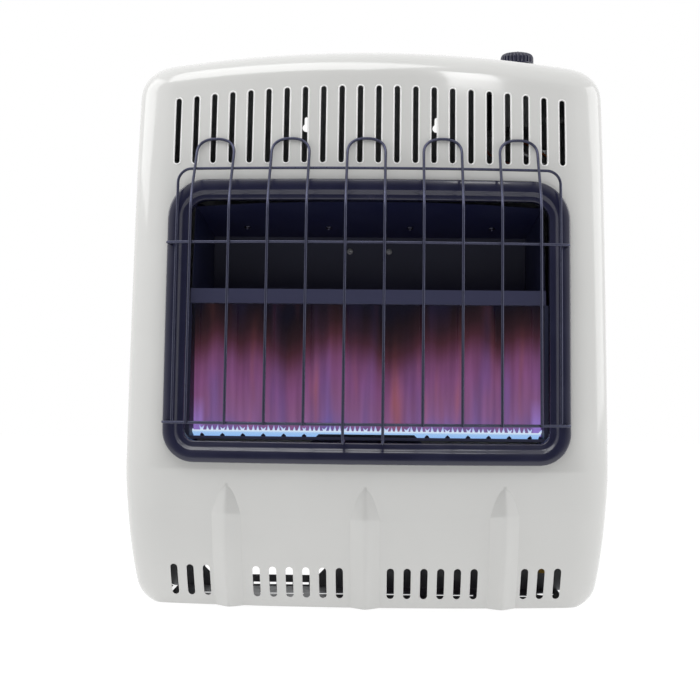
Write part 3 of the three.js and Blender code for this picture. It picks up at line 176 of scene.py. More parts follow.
@dataclass(frozen=True)
class NodeFinish:
    """A surface finish that is built as a node material."""

    name: str

    def shade(self, net: Net) -> dict:
        """Adds the finish's own nodes, and returns its shader's inputs."""
        raise NotImplementedError

    def material(self) -> Material:
        """Returns the finish's material, built the first time."""
        if found := bpy.data.materials.get(self.name):
            return found
        made = bpy.data.materials.new(self.name)
        blank = Net.of(made)
        net = Net(blank.tree, blank.add("ShaderNodeTexCoord", "Object"))
        shader = net.add("ShaderNodeBsdfPrincipled", "BSDF", self.shade(net))
        net.node("ShaderNodeOutputMaterial", {"Surface": shader})
        return made


class Pattern(Enum):
    """How a finish varies over its surface."""

    MOTTLE = "soft clouds"
    SPANGLE = "zinc crystals"
    BRUSHED = "lines along X"
    UPRIGHT = "lines along Z"


@dataclass(frozen=True)
class Finish(NodeFinish):
    """One real opaque finish.

    Attributes:
        name: What the material is and how its surface was made.
        colour: Its main colour, sRGB.
        drift: The colour it drifts to, sRGB.
        roughness: Least and greatest roughness.
        grain: Size of its colour pattern.
        pattern: Kind of colour pattern.
        metallic: 1 for bare metal.
        relief: Height of its fine relief.
        relief_grain: Size of that relief.
        coat: Weight of a clear gloss over it.
        lines: How many times longer than wide a drawn or brushed line is.
    """

    colour: str
    drift: str
    roughness: tuple[float, float]
    grain: float
    pattern: Pattern = Pattern.MOTTLE
    metallic: float = 0.0
    relief: float = 0.0
    relief_grain: float = 1.0 * MM
    coat: float = 0.0
    lines: float = 40.0

    def spread(self, net: Net) -> Socket:
        """Adds the pattern's nodes.

        Args:
            net: The material's tree.

        Returns:
            A value from 0 to 1 over the surface.
        """
        if self.pattern is Pattern.SPANGLE:
            cells = net.add("ShaderNodeTexVoronoi", "Color", {"Vector": net.place, "Scale": 1 / self.grain})
            return net.add("ShaderNodeSeparateColor", "Red", {"Color": cells})
        stretch = {Pattern.BRUSHED: (1 / self.lines, 1, 1), Pattern.UPRIGHT: (1, 1, 1 / self.lines)}
        scaled = net.add("ShaderNodeMapping", "Vector", {
            "Vector": net.place, "Scale": stretch.get(self.pattern, (1, 1, 1))})
        return net.remap(net.noise(scaled, self.grain, 3.0), 0.2, 0.8, kind="SMOOTHSTEP")

    def shade(self, net: Net) -> dict:
        """Adds the colour, gloss and relief.

        Args:
            net: The material's tree.

        Returns:
            The shader's inputs.
        """
        share = self.spread(net)
        inputs = {
            "Base Color": net.tint(share, linear(self.colour), linear(self.drift)),
            "Roughness": net.remap(share, 0.0, 1.0, *self.roughness),
            "Metallic": self.metallic, "Coat Weight": self.coat, "Coat Roughness": COAT_ROUGHNESS}
        if self.relief:
            height = net.noise(net.place, self.relief_grain, 2.0)
            inputs["Normal"] = net.add("ShaderNodeBump", "Normal", {
                "Height": height, "Distance": self.relief, "Strength": 1.0})
        return inputs


@dataclass(frozen=True)
class GlassFinish(NodeFinish):
    """Heat-resistant glass: drawn flat and fire-polished, clear, with a faint smear of soot."""

    colour: str
    roughness: float
    ior: float
    gloss: float = 0.3
    smear: float = 60 * MM

    def shade(self, net: Net) -> dict:
        """Adds the smear that varies the gloss, and returns the shader's inputs."""
        roughness = net.remap(net.noise(net.place, self.smear, 2.0), 0.0, 1.0, 0.0, self.roughness)
        return {"Base Color": linear(self.colour), "Roughness": roughness, "IOR": self.ior,
                "Specular IOR Level": self.gloss, "Transmission Weight": 1.0}


@dataclass(frozen=True)
class FlameFinish(NodeFinish):
    """Burning gas: light that comes from the flame itself, coloured by height and drawn out upwards.

    Attributes:
        name: Which flame it is.
        foot: Height where it starts.
        top: Height where it has faded out.
        colours: Share of the height, sRGB colour and solidity, from the foot up.
        streak: Width of its upright streaks, or 0 for none.
        half: Half its length, for the paler flames that climb the walls at its ends.
        hump_place: Where one of its broad tops is highest.
        hump_pitch: Distance between those tops.
        hump_share: How much higher they stand, as a share of the height.
        low_side: How much lower its left end is, as a share of the height.
        patches: Width in streaks, slimness, shift and strength of what makes its tops uneven.
        wisps: Width in streaks, shift, the noise where they start and are full, and colour of its wisps.
        wisp_fade: Shares of the height where the wisps fade, and their strength there.
        slimness: How many times as high as wide its wisps and its streaks are.
        flicker: Least and greatest strength of the streaks' light.
        end_colour: Colour of the pale ends.
        end_span: How far in from each end they start and are full.
        end_lean: How much more of the sheet they take at the top than at the foot.
        end_fade: Shares of the height where they fade, and their strength there.
    """

    foot: float
    top: float
    colours: tuple[tuple[float, str, float], ...]
    streak: float = 0.0
    half: float = 0.0
    hump_place: float = -46 * MM
    hump_pitch: float = 137 * MM
    hump_share: float = 0.07
    low_side: float = 0.1
    patches: tuple[tuple[float, float, float, float], ...] = ((6, 12.0, 0.31, 0.16), (2.5, 9.0, 0.77, 0.08))
    wisps: tuple[tuple[float, float, float, float, str], ...] = (
        (2.2, 0.13, 0.52, 0.9, "#A85E50"), (3.1, 0.57, 0.45, 0.95, "#545296"))
    wisp_fade: tuple[float, ...] = (0.35, 0.7, 1.0, 0.15)
    slimness: Flat = (8.0, 14.0)
    flicker: Flat = (0.8, 1.2)
    end_colour: str = "#9A7ED2"
    end_span: Flat = (7 * MM, 1 * MM)
    end_lean: float = 12 * MM
    end_fade: tuple[float, ...] = (0.06, 0.3, 0.7, 0.0)

    def ramp(self, net: Net, rise: Socket, solid: bool) -> Socket:
        """Adds a colour ramp over the height.

        Args:
            net: The material's tree.
            rise: Share of the height.
            solid: Whether the ramp holds the solidity instead of the colour.

        Returns:
            The ramp's value.
        """
        ramp = net.node("ShaderNodeValToRGB", {"Fac": rise})
        elements = ramp.color_ramp.elements
        for _ in range(len(self.colours) - len(elements)):
            elements.new(0.5)
        for element, (share, code, solidity) in zip(elements, self.colours):
            element.position = share
            element.color = (solidity, solidity, solidity, 1.0) if solid else linear(code)
        return ramp.outputs["Color"]

    @staticmethod
    def drawn(net: Net, width: float, slimness: float, shift: float, low: float, high: float) -> Socket:
        """Adds a noise that is drawn out upwards.

        Args:
            net: The material's tree.
            width: Width of its patches.
            slimness: How many times as high as wide they are.
            shift: What makes this noise differ from the others.
            low: Noise that gives 0.
            high: Noise that gives 1.

        Returns:
            A value from 0 to 1.
        """
        tall = net.add("ShaderNodeMapping", "Vector", {
            "Vector": net.place, "Location": (shift, 0, 0), "Scale": (1, 0, 1 / slimness)})
        return net.remap(net.noise(tall, width, 1.5), low, high, kind="SMOOTHSTEP")

    def tall_look(self, net: Net, rise: Socket) -> tuple[Socket, Socket]:
        """Adds what only the tall flames have: uneven tops, streaks, orange wisps and pale ends.

        Args:
            net: The material's tree.
            rise: Share of the height.

        Returns:
            The colour and the solidity.
        """
        across = net.add("ShaderNodeSeparateXYZ", "X", {"Vector": net.place})
        turn = net.math("SUBTRACT", across, self.hump_place)
        hump = net.math("COSINE", net.math("MULTIPLY", turn, 2 * math.pi / self.hump_pitch))
        uneven = net.math("MULTIPLY_ADD", hump, -self.hump_share, rise)
        for width, slimness, shift, strength in self.patches:
            patch = self.drawn(net, width * self.streak, slimness, shift, 0.2, 0.8)
            uneven = net.math("MULTIPLY_ADD", net.math("SUBTRACT", 0.5, patch), strength, uneven)
        uneven = net.math("ADD", uneven, net.remap(across, -self.half, -self.half / 4, self.low_side, 0.0))
        colour = self.ramp(net, uneven, solid=False)
        low_down = net.remap(uneven, *self.wisp_fade)
        for width, shift, low, high, code in self.wisps:
            wisp = self.drawn(net, width * self.streak, self.slimness[0], shift, low, high)
            colour = net.tint(net.math("MULTIPLY", wisp, low_down), colour, linear(code))
        lean = net.math("MULTIPLY_ADD", rise, self.end_lean, net.math("ABSOLUTE", across))
        edge = net.remap(lean, *(self.half - span for span in self.end_span), kind="SMOOTHSTEP")
        edge = net.math("MULTIPLY", edge, net.remap(rise, *self.end_fade))
        colour = net.tint(edge, colour, linear(self.end_colour))
        streaks = self.drawn(net, self.streak, self.slimness[1], 0.0, 0.15, 0.85)
        light = net.remap(streaks, 0.0, 1.0, *self.flicker)
        return net.vector("SCALE", "Vector", {0: colour, "Scale": light}), self.ramp(net, uneven, solid=True)

    def shade(self, net: Net) -> dict:
        """Adds the flame's light.

        Args:
            net: The material's tree.

        Returns:
            The shader's inputs.
        """
        height = net.add("ShaderNodeSeparateXYZ", "Z", {"Vector": net.place})
        rise = net.remap(height, self.foot, self.top)
        if self.streak:
            colour, solidity = self.tall_look(net, rise)
        else:
            colour, solidity = (self.ramp(net, rise, solid) for solid in (False, True))
        return {"Base Color": (0.0, 0.0, 0.0, 1.0), "Roughness": 1.0, "Specular IOR Level": 0.0,
                "Emission Color": colour, "Emission Strength": 1.0, "Alpha": solidity}


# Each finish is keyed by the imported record's material slot
FINISHES: dict[str, Finish | GlassFinish] = {
    # Porcelain-like baked enamel on pressed steel: warm white, glossy, with the faintest orange peel
    "white_enamel": Finish("baked_white_enamel", "#D9D9D7", "#D5D5D3", (0.14, 0.18), 160 * MM,
                           relief=0.003 * MM, relief_grain=2.6 * MM, coat=0.8),
    # Baked navy enamel: deep blue-black under a wet gloss that draws bright lines along each bend
    "dark_enamel": Finish("baked_navy_enamel", "#1D1E36", "#22233C", (0.2, 0.28), 40 * MM,
                          relief=0.004 * MM, relief_grain=1.8 * MM, coat=0.4),
    # Heat-resistant coating on cold-rolled steel: dull near-black navy, mottled in soft clouds
    "firebox_steel": Finish("heat_coated_steel", "#0D1130", "#121633", (0.4, 0.55), 70 * MM,
                            relief=0.02 * MM, relief_grain=1.2 * MM),
    # Hot-dip galvanised sheet: pale grey with broad zinc crystals of slightly different gloss
    "zinc_steel": Finish("galvanised_steel_sheet", "#989A9C", "#888B8E", (0.34, 0.5), 11 * MM,
                         Pattern.SPANGLE, metallic=0.4, relief=0.01 * MM),
    # Aluminised sheet, rolled: dull silver-grey with faint rolling lines
    "aluminised_steel": Finish("rolled_aluminised_steel", "#7E8082", "#6D6F72", (0.42, 0.55), 1.6 * MM,
                               Pattern.BRUSHED, metallic=0.85),
    # Zinc-plated pan heads, dulled by heat: a small dim glint with a faint turning texture
    "bright_screws": Finish("heat_dulled_zinc_screws", "#4C4D58", "#424350", (0.3, 0.4), 1.5 * MM,
                            metallic=1.0, relief=0.01 * MM, relief_grain=0.5 * MM),
    # Steel wire, drawn and nickel plated: grey with a blue cast and fine lines along its length
    "guard_wire": Finish("nickel_plated_wire", "#484A5E", "#3E4053", (0.26, 0.34), 1.2 * MM,
                         Pattern.UPRIGHT, metallic=0.75),
    # Turned brass: warm yellow with a soft machined sheen, slightly browned
    "brass_fittings": Finish("turned_brass", "#B8964E", "#A07F3C", (0.25, 0.4), 6 * MM,
                             metallic=1.0, relief=0.01 * MM, relief_grain=0.6 * MM),
    # Die-cast aluminium: matt light grey with the fine grain of the mould
    "cast_aluminium": Finish("die_cast_aluminium", "#A3A5A7", "#949698", (0.45, 0.6), 9 * MM,
                             metallic=0.9, relief=0.05 * MM, relief_grain=1.1 * MM),
    # Drawn aluminium tube: pale and softly bright along its length
    "aluminium_tube": Finish("drawn_aluminium_tube", "#B9BBBD", "#AAACAE", (0.28, 0.4), 2 * MM,
                             Pattern.UPRIGHT, metallic=1.0),
    # Drawn copper capillary: dull orange-brown, darkened in patches
    "copper_lead": Finish("drawn_copper", "#B06A45", "#8A4E33", (0.3, 0.45), 12 * MM, metallic=1.0),
    # Injection-moulded phenolic: blue-black, satin, with a fine spark-eroded grain
    "knob_plastic": Finish("moulded_phenolic", "#1E1F36", "#25263E", (0.16, 0.24), 5 * MM,
                           relief=0.01 * MM, relief_grain=0.6 * MM),
    # Injection-moulded nylon: charcoal and slightly waxy
    "igniter_plastic": Finish("moulded_nylon", "#2C2C30", "#343438", (0.45, 0.55), 8 * MM,
                              relief=0.03 * MM, relief_grain=0.6 * MM),
    # Extruded silicone rubber: dull brick red
    "wire_insulation": Finish("extruded_silicone", "#8A3B2C", "#7A3325", (0.55, 0.65), 6 * MM),
    # Glazed alumina: warm white with a smooth gloss
    "white_ceramic": Finish("glazed_alumina", "#E6E2D8", "#DDD8CC", (0.15, 0.25), 7 * MM, coat=0.3),
    "clear_glass": GlassFinish("heat_resistant_glass", "#F4F8FA", 0.03, 1.47),
}

# The same enamel on the rolled edge of each slot, painted whiter: a painted highlight, so that each slot has
# a bright rim
RIM_PAINTED_HIGHLIGHT = Finish("enamel_rims_painted_highlight", "#F6F6F5", "#F1F1F0", (0.12, 0.2), 30 * MM, coat=0.8)

# The same navy enamel on the folded rails that hold the glass, painted lighter and greyer: painted light for
# the recessed rails, which the lamps leave dark
RAIL_PAINTED_LIGHT = Finish("navy_enamel_painted_light", "#3A3B54", "#343650", (0.3, 0.4), 40 * MM)
RAILS = ("glass_top_rail", "glass_bottom_rail")


def slot_of(node: str) -> str:
    """Returns the record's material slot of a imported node."""
    return next(part["material_slot"] for part in frame["record"]["subparts"] if part["node"] == node)


def settle(piece: Piece, nodes: Sequence[str] = (), body: str = BODY) -> None:
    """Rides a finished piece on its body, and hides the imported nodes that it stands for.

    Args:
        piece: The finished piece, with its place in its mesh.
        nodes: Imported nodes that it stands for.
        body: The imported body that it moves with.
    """
    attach(piece, body)
    if nodes:
        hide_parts(*nodes)
    log.info("%s: %d faces on %s", piece.name, len(piece.data.polygons), body)


def new_piece(name: str, mesh: Mesh, material: Material | None = None) -> Piece:
    """Puts a mesh into the scene as a piece.

    Args:
        name: The piece's name.
        mesh: Its mesh.
        material: Its only material, if it has one yet.

    Returns:
        The piece.
    """
    piece = bpy.data.objects.new(name, mesh)
    bpy.context.scene.collection.objects.link(piece)
    if material:
        mesh.materials.clear()
        mesh.materials.append(material)
    return piece


def mesh_from(made: bmesh.types.BMesh, name: str) -> Mesh:
    """Turns a working mesh into a named one, and frees it."""
    mesh = bpy.data.meshes.new(name)
    made.to_mesh(mesh)
    made.free()
    return mesh


def from_grids(name: str, grids: Sequence[np.ndarray], closed: bool = True) -> Mesh:
    """Joins grids of points into one mesh.

    Args:
        name: The mesh's name.
        grids: Arrays of rows, columns and X, Y, Z.
        closed: Whether the grids meet in a closed body, whose faces are then turned outwards.

    Returns:
        The mesh, with coinciding points merged.
    """
    made = bmesh.new()
    for grid in grids:
        rows = [[made.verts.new(point) for point in row] for row in grid]
        for low, high in zip(rows, rows[1:]):
            for i in range(len(low) - 1):
                made.faces.new((low[i], low[i + 1], high[i + 1], high[i]))
    if closed:
        bmesh.ops.remove_doubles(made, verts=made.verts, dist=SAME_POINT)
        bmesh.ops.dissolve_degenerate(made, dist=NO_LENGTH, edges=made.edges)
        bmesh.ops.recalc_face_normals(made, faces=made.faces)
    return mesh_from(made, name)


def smooth_by_angle(mesh: Mesh, degrees: float = SHARP_ANGLE) -> None:
    """Shades a mesh smooth, but for edges that turn by more than an angle."""
    mesh.polygons.foreach_set("use_smooth", [True] * len(mesh.polygons))
    mesh.set_sharp_from_angle(angle=math.radians(degrees))


def plain_result(piece: Piece) -> None:
    """Keeps the result of a piece's modifiers as its mesh, and removes them.

    Args:
        piece: The piece.
    """
    depsgraph = bpy.context.evaluated_depsgraph_get()
    result = bpy.data.meshes.new_from_object(piece.evaluated_get(depsgraph), depsgraph=depsgraph)
    piece.modifiers.clear()
    piece.data = result


def run_tree(piece: Piece, tree: Tree, values: dict[str, object]) -> None:
    """Runs a geometry tree on a piece and keeps its plain mesh.

    Args:
        piece: The piece that holds the tree's input.
        tree: The geometry tree.
        values: The tree's named inputs.
    """
    modifier = piece.modifiers.new(tree.name, "NODES")
    modifier.node_group = tree
    for item in tree.interface.items_tree:
        if item.item_type == "SOCKET" and item.in_out == "INPUT" and item.name in values:
            modifier[item.identifier] = values[item.name]
    plain_result(piece)


class TreeInputs(Enum):
    """Kinds of named input that a geometry tree takes."""

    LENGTH = "NodeSocketFloat"
    COUNT = "NodeSocketInt"
    FINISH = "NodeSocketMaterial"
    PIECE = "NodeSocketObject"
    SHAPE = "NodeSocketGeometry"


def new_tree(name: str, sockets: dict[str, TreeInputs]) -> tuple[Net, bpy.types.NodeOutputs]:
    """Starts a geometry tree.

    Args:
        name: The tree's name.
        sockets: Its named inputs, besides the geometry.

    Returns:
        The tree and the outputs of its input node.
    """
    tree = bpy.data.node_groups.new(name, "GeometryNodeTree")
    for label, kind in ({"Geometry": TreeInputs.SHAPE} | sockets).items():
        tree.interface.new_socket(label, in_out="INPUT", socket_type=kind.value)
    tree.interface.new_socket("Geometry", in_out="OUTPUT", socket_type=TreeInputs.SHAPE.value)
    return Net(tree), tree.nodes.new("NodeGroupInput").outputs


def end_tree(net: Net, shape: Socket, finish: Socket) -> Tree:
    """Ends a geometry tree: real mesh, smooth shading, one material.

    Args:
        net: The geometry tree.
        shape: The shape it has made.
        finish: The material input.

    Returns:
        The finished tree.
    """
    real = net.add("GeometryNodeRealizeInstances", "Geometry", {"Geometry": shape})
    smooth = net.add("GeometryNodeSetShadeSmooth", "Geometry", {"Geometry": real})
    dressed = net.add("GeometryNodeSetMaterial", "Geometry", {"Geometry": smooth, "Material": finish})
    net.node("NodeGroupOutput", {"Geometry": dressed})
    return net.tree


def wire_tree() -> Tree:
    """Builds the tree that turns routes into round wire, laid onto a sheet where one is given.

    Returns:
        The tree.
    """
    net, given = new_tree("round_wire", {
        "Wire radius": TreeInputs.LENGTH, "Sides": TreeInputs.COUNT, "Sheet": TreeInputs.PIECE,
        "Sunk": TreeInputs.LENGTH, "Finish": TreeInputs.FINISH})
    curve = net.add("GeometryNodeMeshToCurve", "Curve", {"Mesh": given["Geometry"]})
    sheet = net.add("GeometryNodeObjectInfo", "Geometry", {"Object": given["Sheet"]})
    ray = net.node("GeometryNodeRaycast", {
        "Target Geometry": sheet, "Ray Direction": (0, 1, 0), "Ray Length": 1.0}).outputs
    deeper = net.add("ShaderNodeCombineXYZ", "Vector", {"Y": given["Sunk"]})
    laid = net.add("GeometryNodeSetPosition", "Geometry", {
        "Geometry": curve, "Selection": ray["Is Hit"], "Position": ray["Hit Position"], "Offset": deeper})
    section = net.add("GeometryNodeCurvePrimitiveCircle", "Curve", {
        "Resolution": given["Sides"], "Radius": given["Wire radius"]})
    wire = net.add("GeometryNodeCurveToMesh", "Mesh", {
        "Curve": laid, "Profile Curve": section, "Fill Caps": True})
    return end_tree(net, wire, given["Finish"])


def placed_tree() -> Tree:
    """Builds the tree that puts a copy of a shape on each point, turned and sized as the point says.

    Returns:
        The tree.
    """
    net, given = new_tree("placed_copies", {"Shape": TreeInputs.PIECE, "Finish": TreeInputs.FINISH})
    shape = net.add("GeometryNodeObjectInfo", "Geometry", {"Object": given["Shape"]})
    turn, size = (net.add("GeometryNodeInputNamedAttribute", "Attribute", {"Name": label},
                          data_type="FLOAT_VECTOR") for label in ("turn", "size"))
    points = net.add("GeometryNodeMeshToPoints", "Points", {"Mesh": given["Geometry"]})
    copies = net.add("GeometryNodeInstanceOnPoints", "Instances", {
        "Points": points, "Instance": shape, "Rotation": turn, "Scale": size})
    return end_tree(net, copies, given["Finish"])


WIRE_TREE = wire_tree()
PLACED_TREE = placed_tree()


def routes_mesh(name: str, routes: Sequence[Sequence[Place]], closed: bool) -> Mesh:
    """Makes a mesh of bare edges along routes.

    Args:
        name: The mesh's name.
        routes: Lists of points.
        closed: Whether each route returns to its start.

    Returns:
        The mesh.
    """
    points, edges = [], []
    for route in routes:
        start = len(points)
        points.extend(route)
        edges.extend((start + i, start + i + 1) for i in range(len(route) - 1))
        if closed:
            edges.append((len(points) - 1, start))
    mesh = bpy.data.meshes.new(name)
    mesh.from_pydata(points, edges, [])
    return mesh


def placed_copies(name: str, shape: Piece, material: Material, places: Sequence[Place],
                  turns: Sequence[Place], sizes: Sequence[Place]) -> Piece:
    """Puts copies of a shape into one piece, and removes the shape.

    Args:
        name: The piece's name.
        shape: What is copied.
        material: The copies' material.
        places: Where each copy goes.
        turns: How each one is turned, in radians.
        sizes: How each one is scaled.

    Returns:
        The piece.
    """
    mesh = bpy.data.meshes.new(name)
    mesh.from_pydata(list(places), [], [])
    for label, values in (("turn", turns), ("size", sizes)):
        attribute = mesh.attributes.new(label, "FLOAT_VECTOR", "POINT")
        attribute.data.foreach_set("vector", np.array(values, float).ravel())
    piece = new_piece(name, mesh)
    run_tree(piece, PLACED_TREE, {"Shape": shape, "Finish": material})
    bpy.data.objects.remove(shape)
    return piece


def lathed(name: str, profile: Sequence[Flat], sides: int) -> Piece:
    """Turns a profile of radius and height round the Z axis into a piece.

    Args:
        name: The piece's name.
        profile: Radius and height of each ring.
        sides: How many sides it has.

    Returns:
        The piece.
    """
    angles = np.linspace(0, 2 * math.pi, sides + 1)
    grid = np.array([[(r * math.cos(a), r * math.sin(a), z) for a in angles] for r, z in profile])
    return new_piece(name, from_grids(name, [grid]))


def arc(centre: Flat, radius: float, start: float, turn: float, steps: int) -> list[Flat]:
    """Returns points along an arc, both ends with it.

    Args:
        centre: The arc's centre.
        radius: Its radius.
        start: The angle where it starts.
        turn: How far it turns.
        steps: How many steps it takes.

    Returns:
        The points.
    """
    angles = [start + turn * k / steps for k in range(steps + 1)]
    return [(centre[0] + radius * math.cos(a), centre[1] + radius * math.sin(a)) for a in angles]


def between(low: float, high: float, count: int) -> list[float]:
    """Returns the evenly spaced places between two ends, without the ends."""
    return [low + (high - low) * k / count for k in range(1, count)]


def corner_arcs(half: float, bottom: float, top: float, radii: Flat, steps: int) -> list[list[Flat]]:
    """Returns the corners of a rounded rectangle in X and Z, from its upper right one round.

    Args:
        half: Half its width.
        bottom: Its lowest height.
        top: Its greatest height.
        radii: Radius of the upper and of the lower corners.
        steps: Steps in each corner.

    Returns:
        One list of points for each corner.
    """
    arcs = []
    for turn, side, up in CORNERS:
        radius = radii[0] if up > 0 else radii[1]
        z = top - radius if up > 0 else bottom + radius
        arcs.append(arc((side * (half - radius), z), radius, turn * math.pi / 2, math.pi / 2, steps))
    return arcs


@dataclass(frozen=True)
class CasingForm:
    """The pressed casing's form: where its outer face is at any place."""

    half_width: float
    height: float
    back: float
    depth: float = 236 * MM
    belly: float = 176 * MM
    crease: float = 113 * MM
    top_set_back: float = 73 * MM
    lean_share: float = 0.6
    crease_set_back: float = 2 * MM
    tuck_under: float = 61 * MM
    tuck_share: float = 0.45
    front_bow: float = 31 * MM
    corner_width: float = 50 * MM
    corner_depth: float = 24 * MM
    shoulder: float = 38 * MM
    shoulder_start: float = math.radians(15)
    crown: float = 21 * MM
    crown_start: float = 552 * MM
    crease_rise: float = 18 * MM
    side_taper: float = 5 * MM
    side_tuck: float = 14 * MM
    foot_radius: float = 28 * MM
    foot_start: float = math.radians(20)
    rib_spacing: float = 169 * MM
    rib_top: float = 151 * MM
    rib_rise: float = 38 * MM
    rib_proud: float = 15 * MM
    rib_half: float = 18 * MM
    rib_growth: float = 0.6
    rib_margin: float = 8 * MM
    ridge: float = 0.16

    @property
    def belly_y(self) -> float:
        """Depth of the front at the belly, on the middle line."""
        return self.back - self.depth

    @property
    def rib_places(self) -> Place:
        """Where the ribs stand across."""
        return -self.rib_spacing, 0, self.rib_spacing

    @property
    def corner_start(self) -> float:
        """Where the front ends and the corner to the side begins."""
        return self.half_width - self.corner_width

    @property
    def foot_centre(self) -> float:
        """Height of the axis of the rounding at the foot of the sides."""
        return self.foot_radius * math.cos(self.foot_start)

    @property
    def shoulder_foot(self) -> float:
        """Height of the axis of the rounding to the top."""
        return self.height - self.shoulder

    @property
    def shoulder_z(self) -> float:
        """Height where that rounding begins on the front."""
        return self.shoulder_foot + self.shoulder * math.sin(self.shoulder_start)

    @property
    def shoulder_y(self) -> float:
        """Depth of the axis of that rounding, on the middle line."""
        return self.belly_y + self.set_back(self.shoulder_z) + self.shoulder * math.cos(self.shoulder_start)

    def set_back(self, z: float) -> float:
        """Returns how far the front is behind the belly line.

        Args:
            z: The height.

        Returns:
            The distance: a lean above the belly, a slight curve to the crease, and a tuck below it.
        """
        if z >= self.belly:
            rise = (z - self.belly) / (self.height - self.belly)
            return self.top_set_back * (self.lean_share * rise + (1 - self.lean_share) * rise * rise)
        if z >= self.crease:
            return self.crease_set_back * ((self.belly - z) / (self.belly - self.crease)) ** 2
        drop = (self.crease - z) / self.crease
        curve = self.tuck_share * drop + (1 - self.tuck_share) * drop * drop
        return self.crease_set_back + (self.tuck_under - self.crease_set_back) * curve

    def bow(self, x: float) -> float:
        """Returns how far the front curves back at a distance from the middle line."""
        return self.front_bow * (x / self.half_width) ** 2

    def front(self, x: float, z: float) -> float:
        """Returns the depth of the front's outer face."""
        return self.belly_y + self.set_back(z) + self.bow(x)

    def side(self, z: float) -> float:
        """Returns the casing's half width at a height."""
        if z >= self.belly:
            return self.half_width - self.side_taper * (z - self.belly) / (self.height - self.belly)
        return self.half_width - self.side_tuck * ((self.belly - z) / self.belly) ** 2

    def wall(self, z: float, inset: float) -> float:
        """Returns half the distance between the side walls, whose feet and shoulders round inwards.

        Args:
            z: Height of the ring.
            inset: Depth inside the outer face.

        Returns:
            The half width.
        """
        over = z - self.shoulder_foot
        if over > 0:
            reach = math.sqrt((self.shoulder - inset) ** 2 - over ** 2)
            return self.side(self.shoulder_foot) - self.shoulder + reach
        drop = self.foot_centre - z
        if drop <= 0:
            return self.side(z) - inset
        reach = math.sqrt(max((self.foot_radius - inset) ** 2 - drop ** 2, 0))
        return self.side(z) - self.foot_radius + reach

    def lift(self, z: float) -> float:
        """Returns how much higher than the middle a ring of the casing is at its ends.

        Args:
            z: Height of the ring.

        Returns:
            The lift, greatest at the crease and below 0 under the crowned top.
        """
        if z < self.crease:
            return self.crease_rise * (z / self.crease) ** 2
        if z < self.belly:
            return self.crease_rise * (self.belly - z) / (self.belly - self.crease)
        climb = max(z - self.crown_start, 0) / (self.shoulder_foot - self.crown_start)
        return -self.crown * min(climb, 1)

    def rib_reach(self, z: float) -> float:
        """Returns half the width of a rib at a height: pointed at its top like an arch."""
        return self.rib_half * math.sqrt(min(max((self.rib_top - z) / self.rib_rise, 0), 1))

    def rib_relief(self, x: float, z: float) -> float:
        """Returns how far a rib stands in front of the tucked face.

        Args:
            x: The place across.
            z: The height.

        Returns:
            The distance, 0 beside the ribs.
        """
        reach = self.rib_reach(z)
        nearest = min(abs(x - place) for place in self.rib_places)
        if nearest >= reach:
            return 0.0
        drop = (self.rib_top - z) / self.rib_top
        away, whole = (math.hypot(share, self.ridge) - self.ridge for share in (nearest / reach, 1))
        return self.rib_proud * drop ** self.rib_growth * (1 - away / whole)


